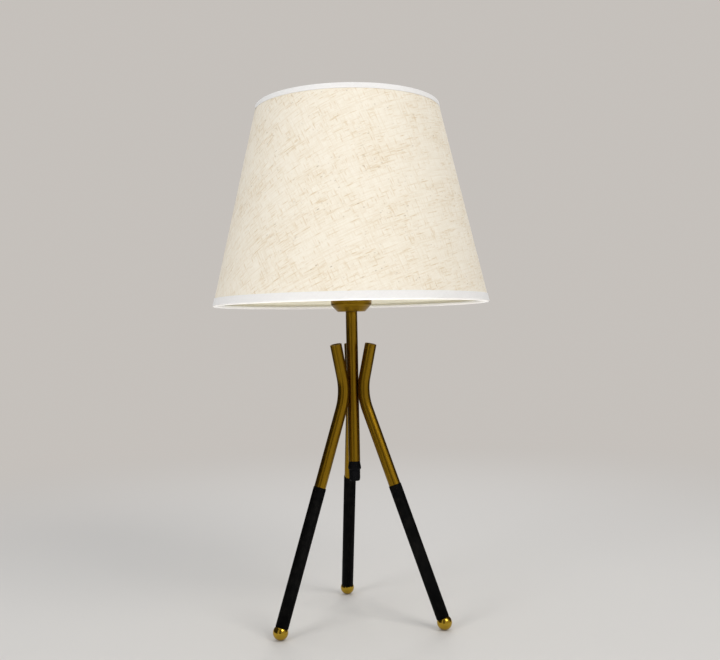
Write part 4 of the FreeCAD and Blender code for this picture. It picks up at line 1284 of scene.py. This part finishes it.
def make_floor():
    """Round floor that fades into the backdrop, and still takes the lamp's shadow."""
    mesh = bpy.data.meshes.new("floor")
    work = bmesh.new()
    bmesh.ops.create_circle(work, cap_ends=True, radius=FLOOR_R, segments=64)
    work.to_mesh(mesh)
    work.free()
    floor = link("floor", mesh)
    made, tree, shader = material("floor")
    far = node(tree, "ShaderNodeVectorMath", {0: place_of(tree)}, operation="LENGTH").outputs["Value"]
    plug_all(tree, shader.inputs, {"Base Color": FLOOR_COLOUR, "Roughness": 0.9,
                                   "Specular IOR Level": 0.0})
    share = maths(tree, "MULTIPLY", seen_rays(tree), ranged(tree, far, *FADE, smooth=True))
    glow = node(tree, "ShaderNodeEmission", {"Color": BACKDROP, "Strength": 1.0})
    blend = node(tree, "ShaderNodeMixShader", {0: share, 1: shader.outputs[0], 2: glow.outputs[0]})
    tree.links.new(blend.outputs[0], tree.nodes["Material Output"].inputs["Surface"])
    mesh.materials.append(made)
    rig.stage(floor)


def make_flags():
    """Curved dark boards round the table, as a studio uses them to give metal its dark bands."""
    facing = 270 - math.degrees(CAMERA_YAW)
    for name, (start, end, grey) in FLAGS.items():
        made, tree, shader = material("flag_" + name)
        plug_all(tree, shader.inputs, {"Base Color": (grey, grey * 0.8, grey * 0.6, 1), "Roughness": 0.9})
        points = []
        for step in range(FLAG_STEPS + 1):
            turn = math.radians(facing + start + (end - start) * step / FLAG_STEPS)
            foot = Vector((math.cos(turn), math.sin(turn), 0)) * FLAG_R
            points += [foot, foot + Vector((0, 0, FLAG_H))]
        mesh = bpy.data.meshes.new("flag")
        mesh.from_pydata(points, [], [(2 * k, 2 * k + 2, 2 * k + 3, 2 * k + 1) for k in range(FLAG_STEPS)])
        flag = link("flag_" + name, mesh)
        mesh.materials.append(made)
        for ray in ("camera", "diffuse", "shadow", "transmission", "volume_scatter"):
            setattr(flag, "visible_" + ray, False)
        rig.stage(flag)


def make_world():
    world = bpy.data.worlds.new("studio")
    bpy.context.scene.world = world
    world.use_nodes = True
    tree = world.node_tree
    light = tree.nodes["Background"]
    plug_all(tree, light.inputs, {"Color": DAYLIGHT, "Strength": DAYLIGHT_STRENGTH})
    seen = node(tree, "ShaderNodeBackground", {"Color": BACKDROP, "Strength": 1.0})
    blend = node(tree, "ShaderNodeMixShader", {0: seen_rays(tree), 1: light.outputs[0], 2: seen.outputs[0]})
    tree.links.new(blend.outputs[0], tree.nodes["World Output"].inputs["Surface"])


def make_studio():
    make_camera()
    make_floor()
    make_flags()
    make_world()
    lamp("key", (0.9, -1.3, 1.5), (0.9, 0.9), 14.8, (1.0, 0.985, 0.96))
    lamp("fill", (-1.3, -1.1, 0.8), (0.7, 1.2), 10.0, shine=False)
    lamp("bounce", (0, -0.2, 0.02), (0.3, 0.15), 1.35, aim=(0, -0.2, 1.0), shine=False)
    lamp("rim", (0.3, 1.4, 1.3), (1.0, 0.7), 8.0)
    bpy.context.scene.view_settings.view_transform = "Standard"


make_stem()
make_legs()
make_gland()
make_cup()
make_skirt()
make_ring()
make_dome()
make_housing()
make_screw_cap()
make_tip()
make_liner()
declare_cover(make_cover(),
              [make_tape("bottom_tape_folded", SHADE_LOW, 1, BOTTOM_TAPE_H, BOTTOM_TAPE_LIP, "bottom_tape"),
               make_tape("top_tape_folded", SHADE_HIGH, -1, TOP_TAPE_H, TOP_TAPE_LIP, "top_tape")])
make_wire_rings()
make_arms()
make_fitter()
paint_kept_nodes()
make_studio()

with open("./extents.json", "w") as size_file:
    json.dump([[list(corner) for corner in CAD_BOX], [list(corner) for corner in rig.bounds()]], size_file)
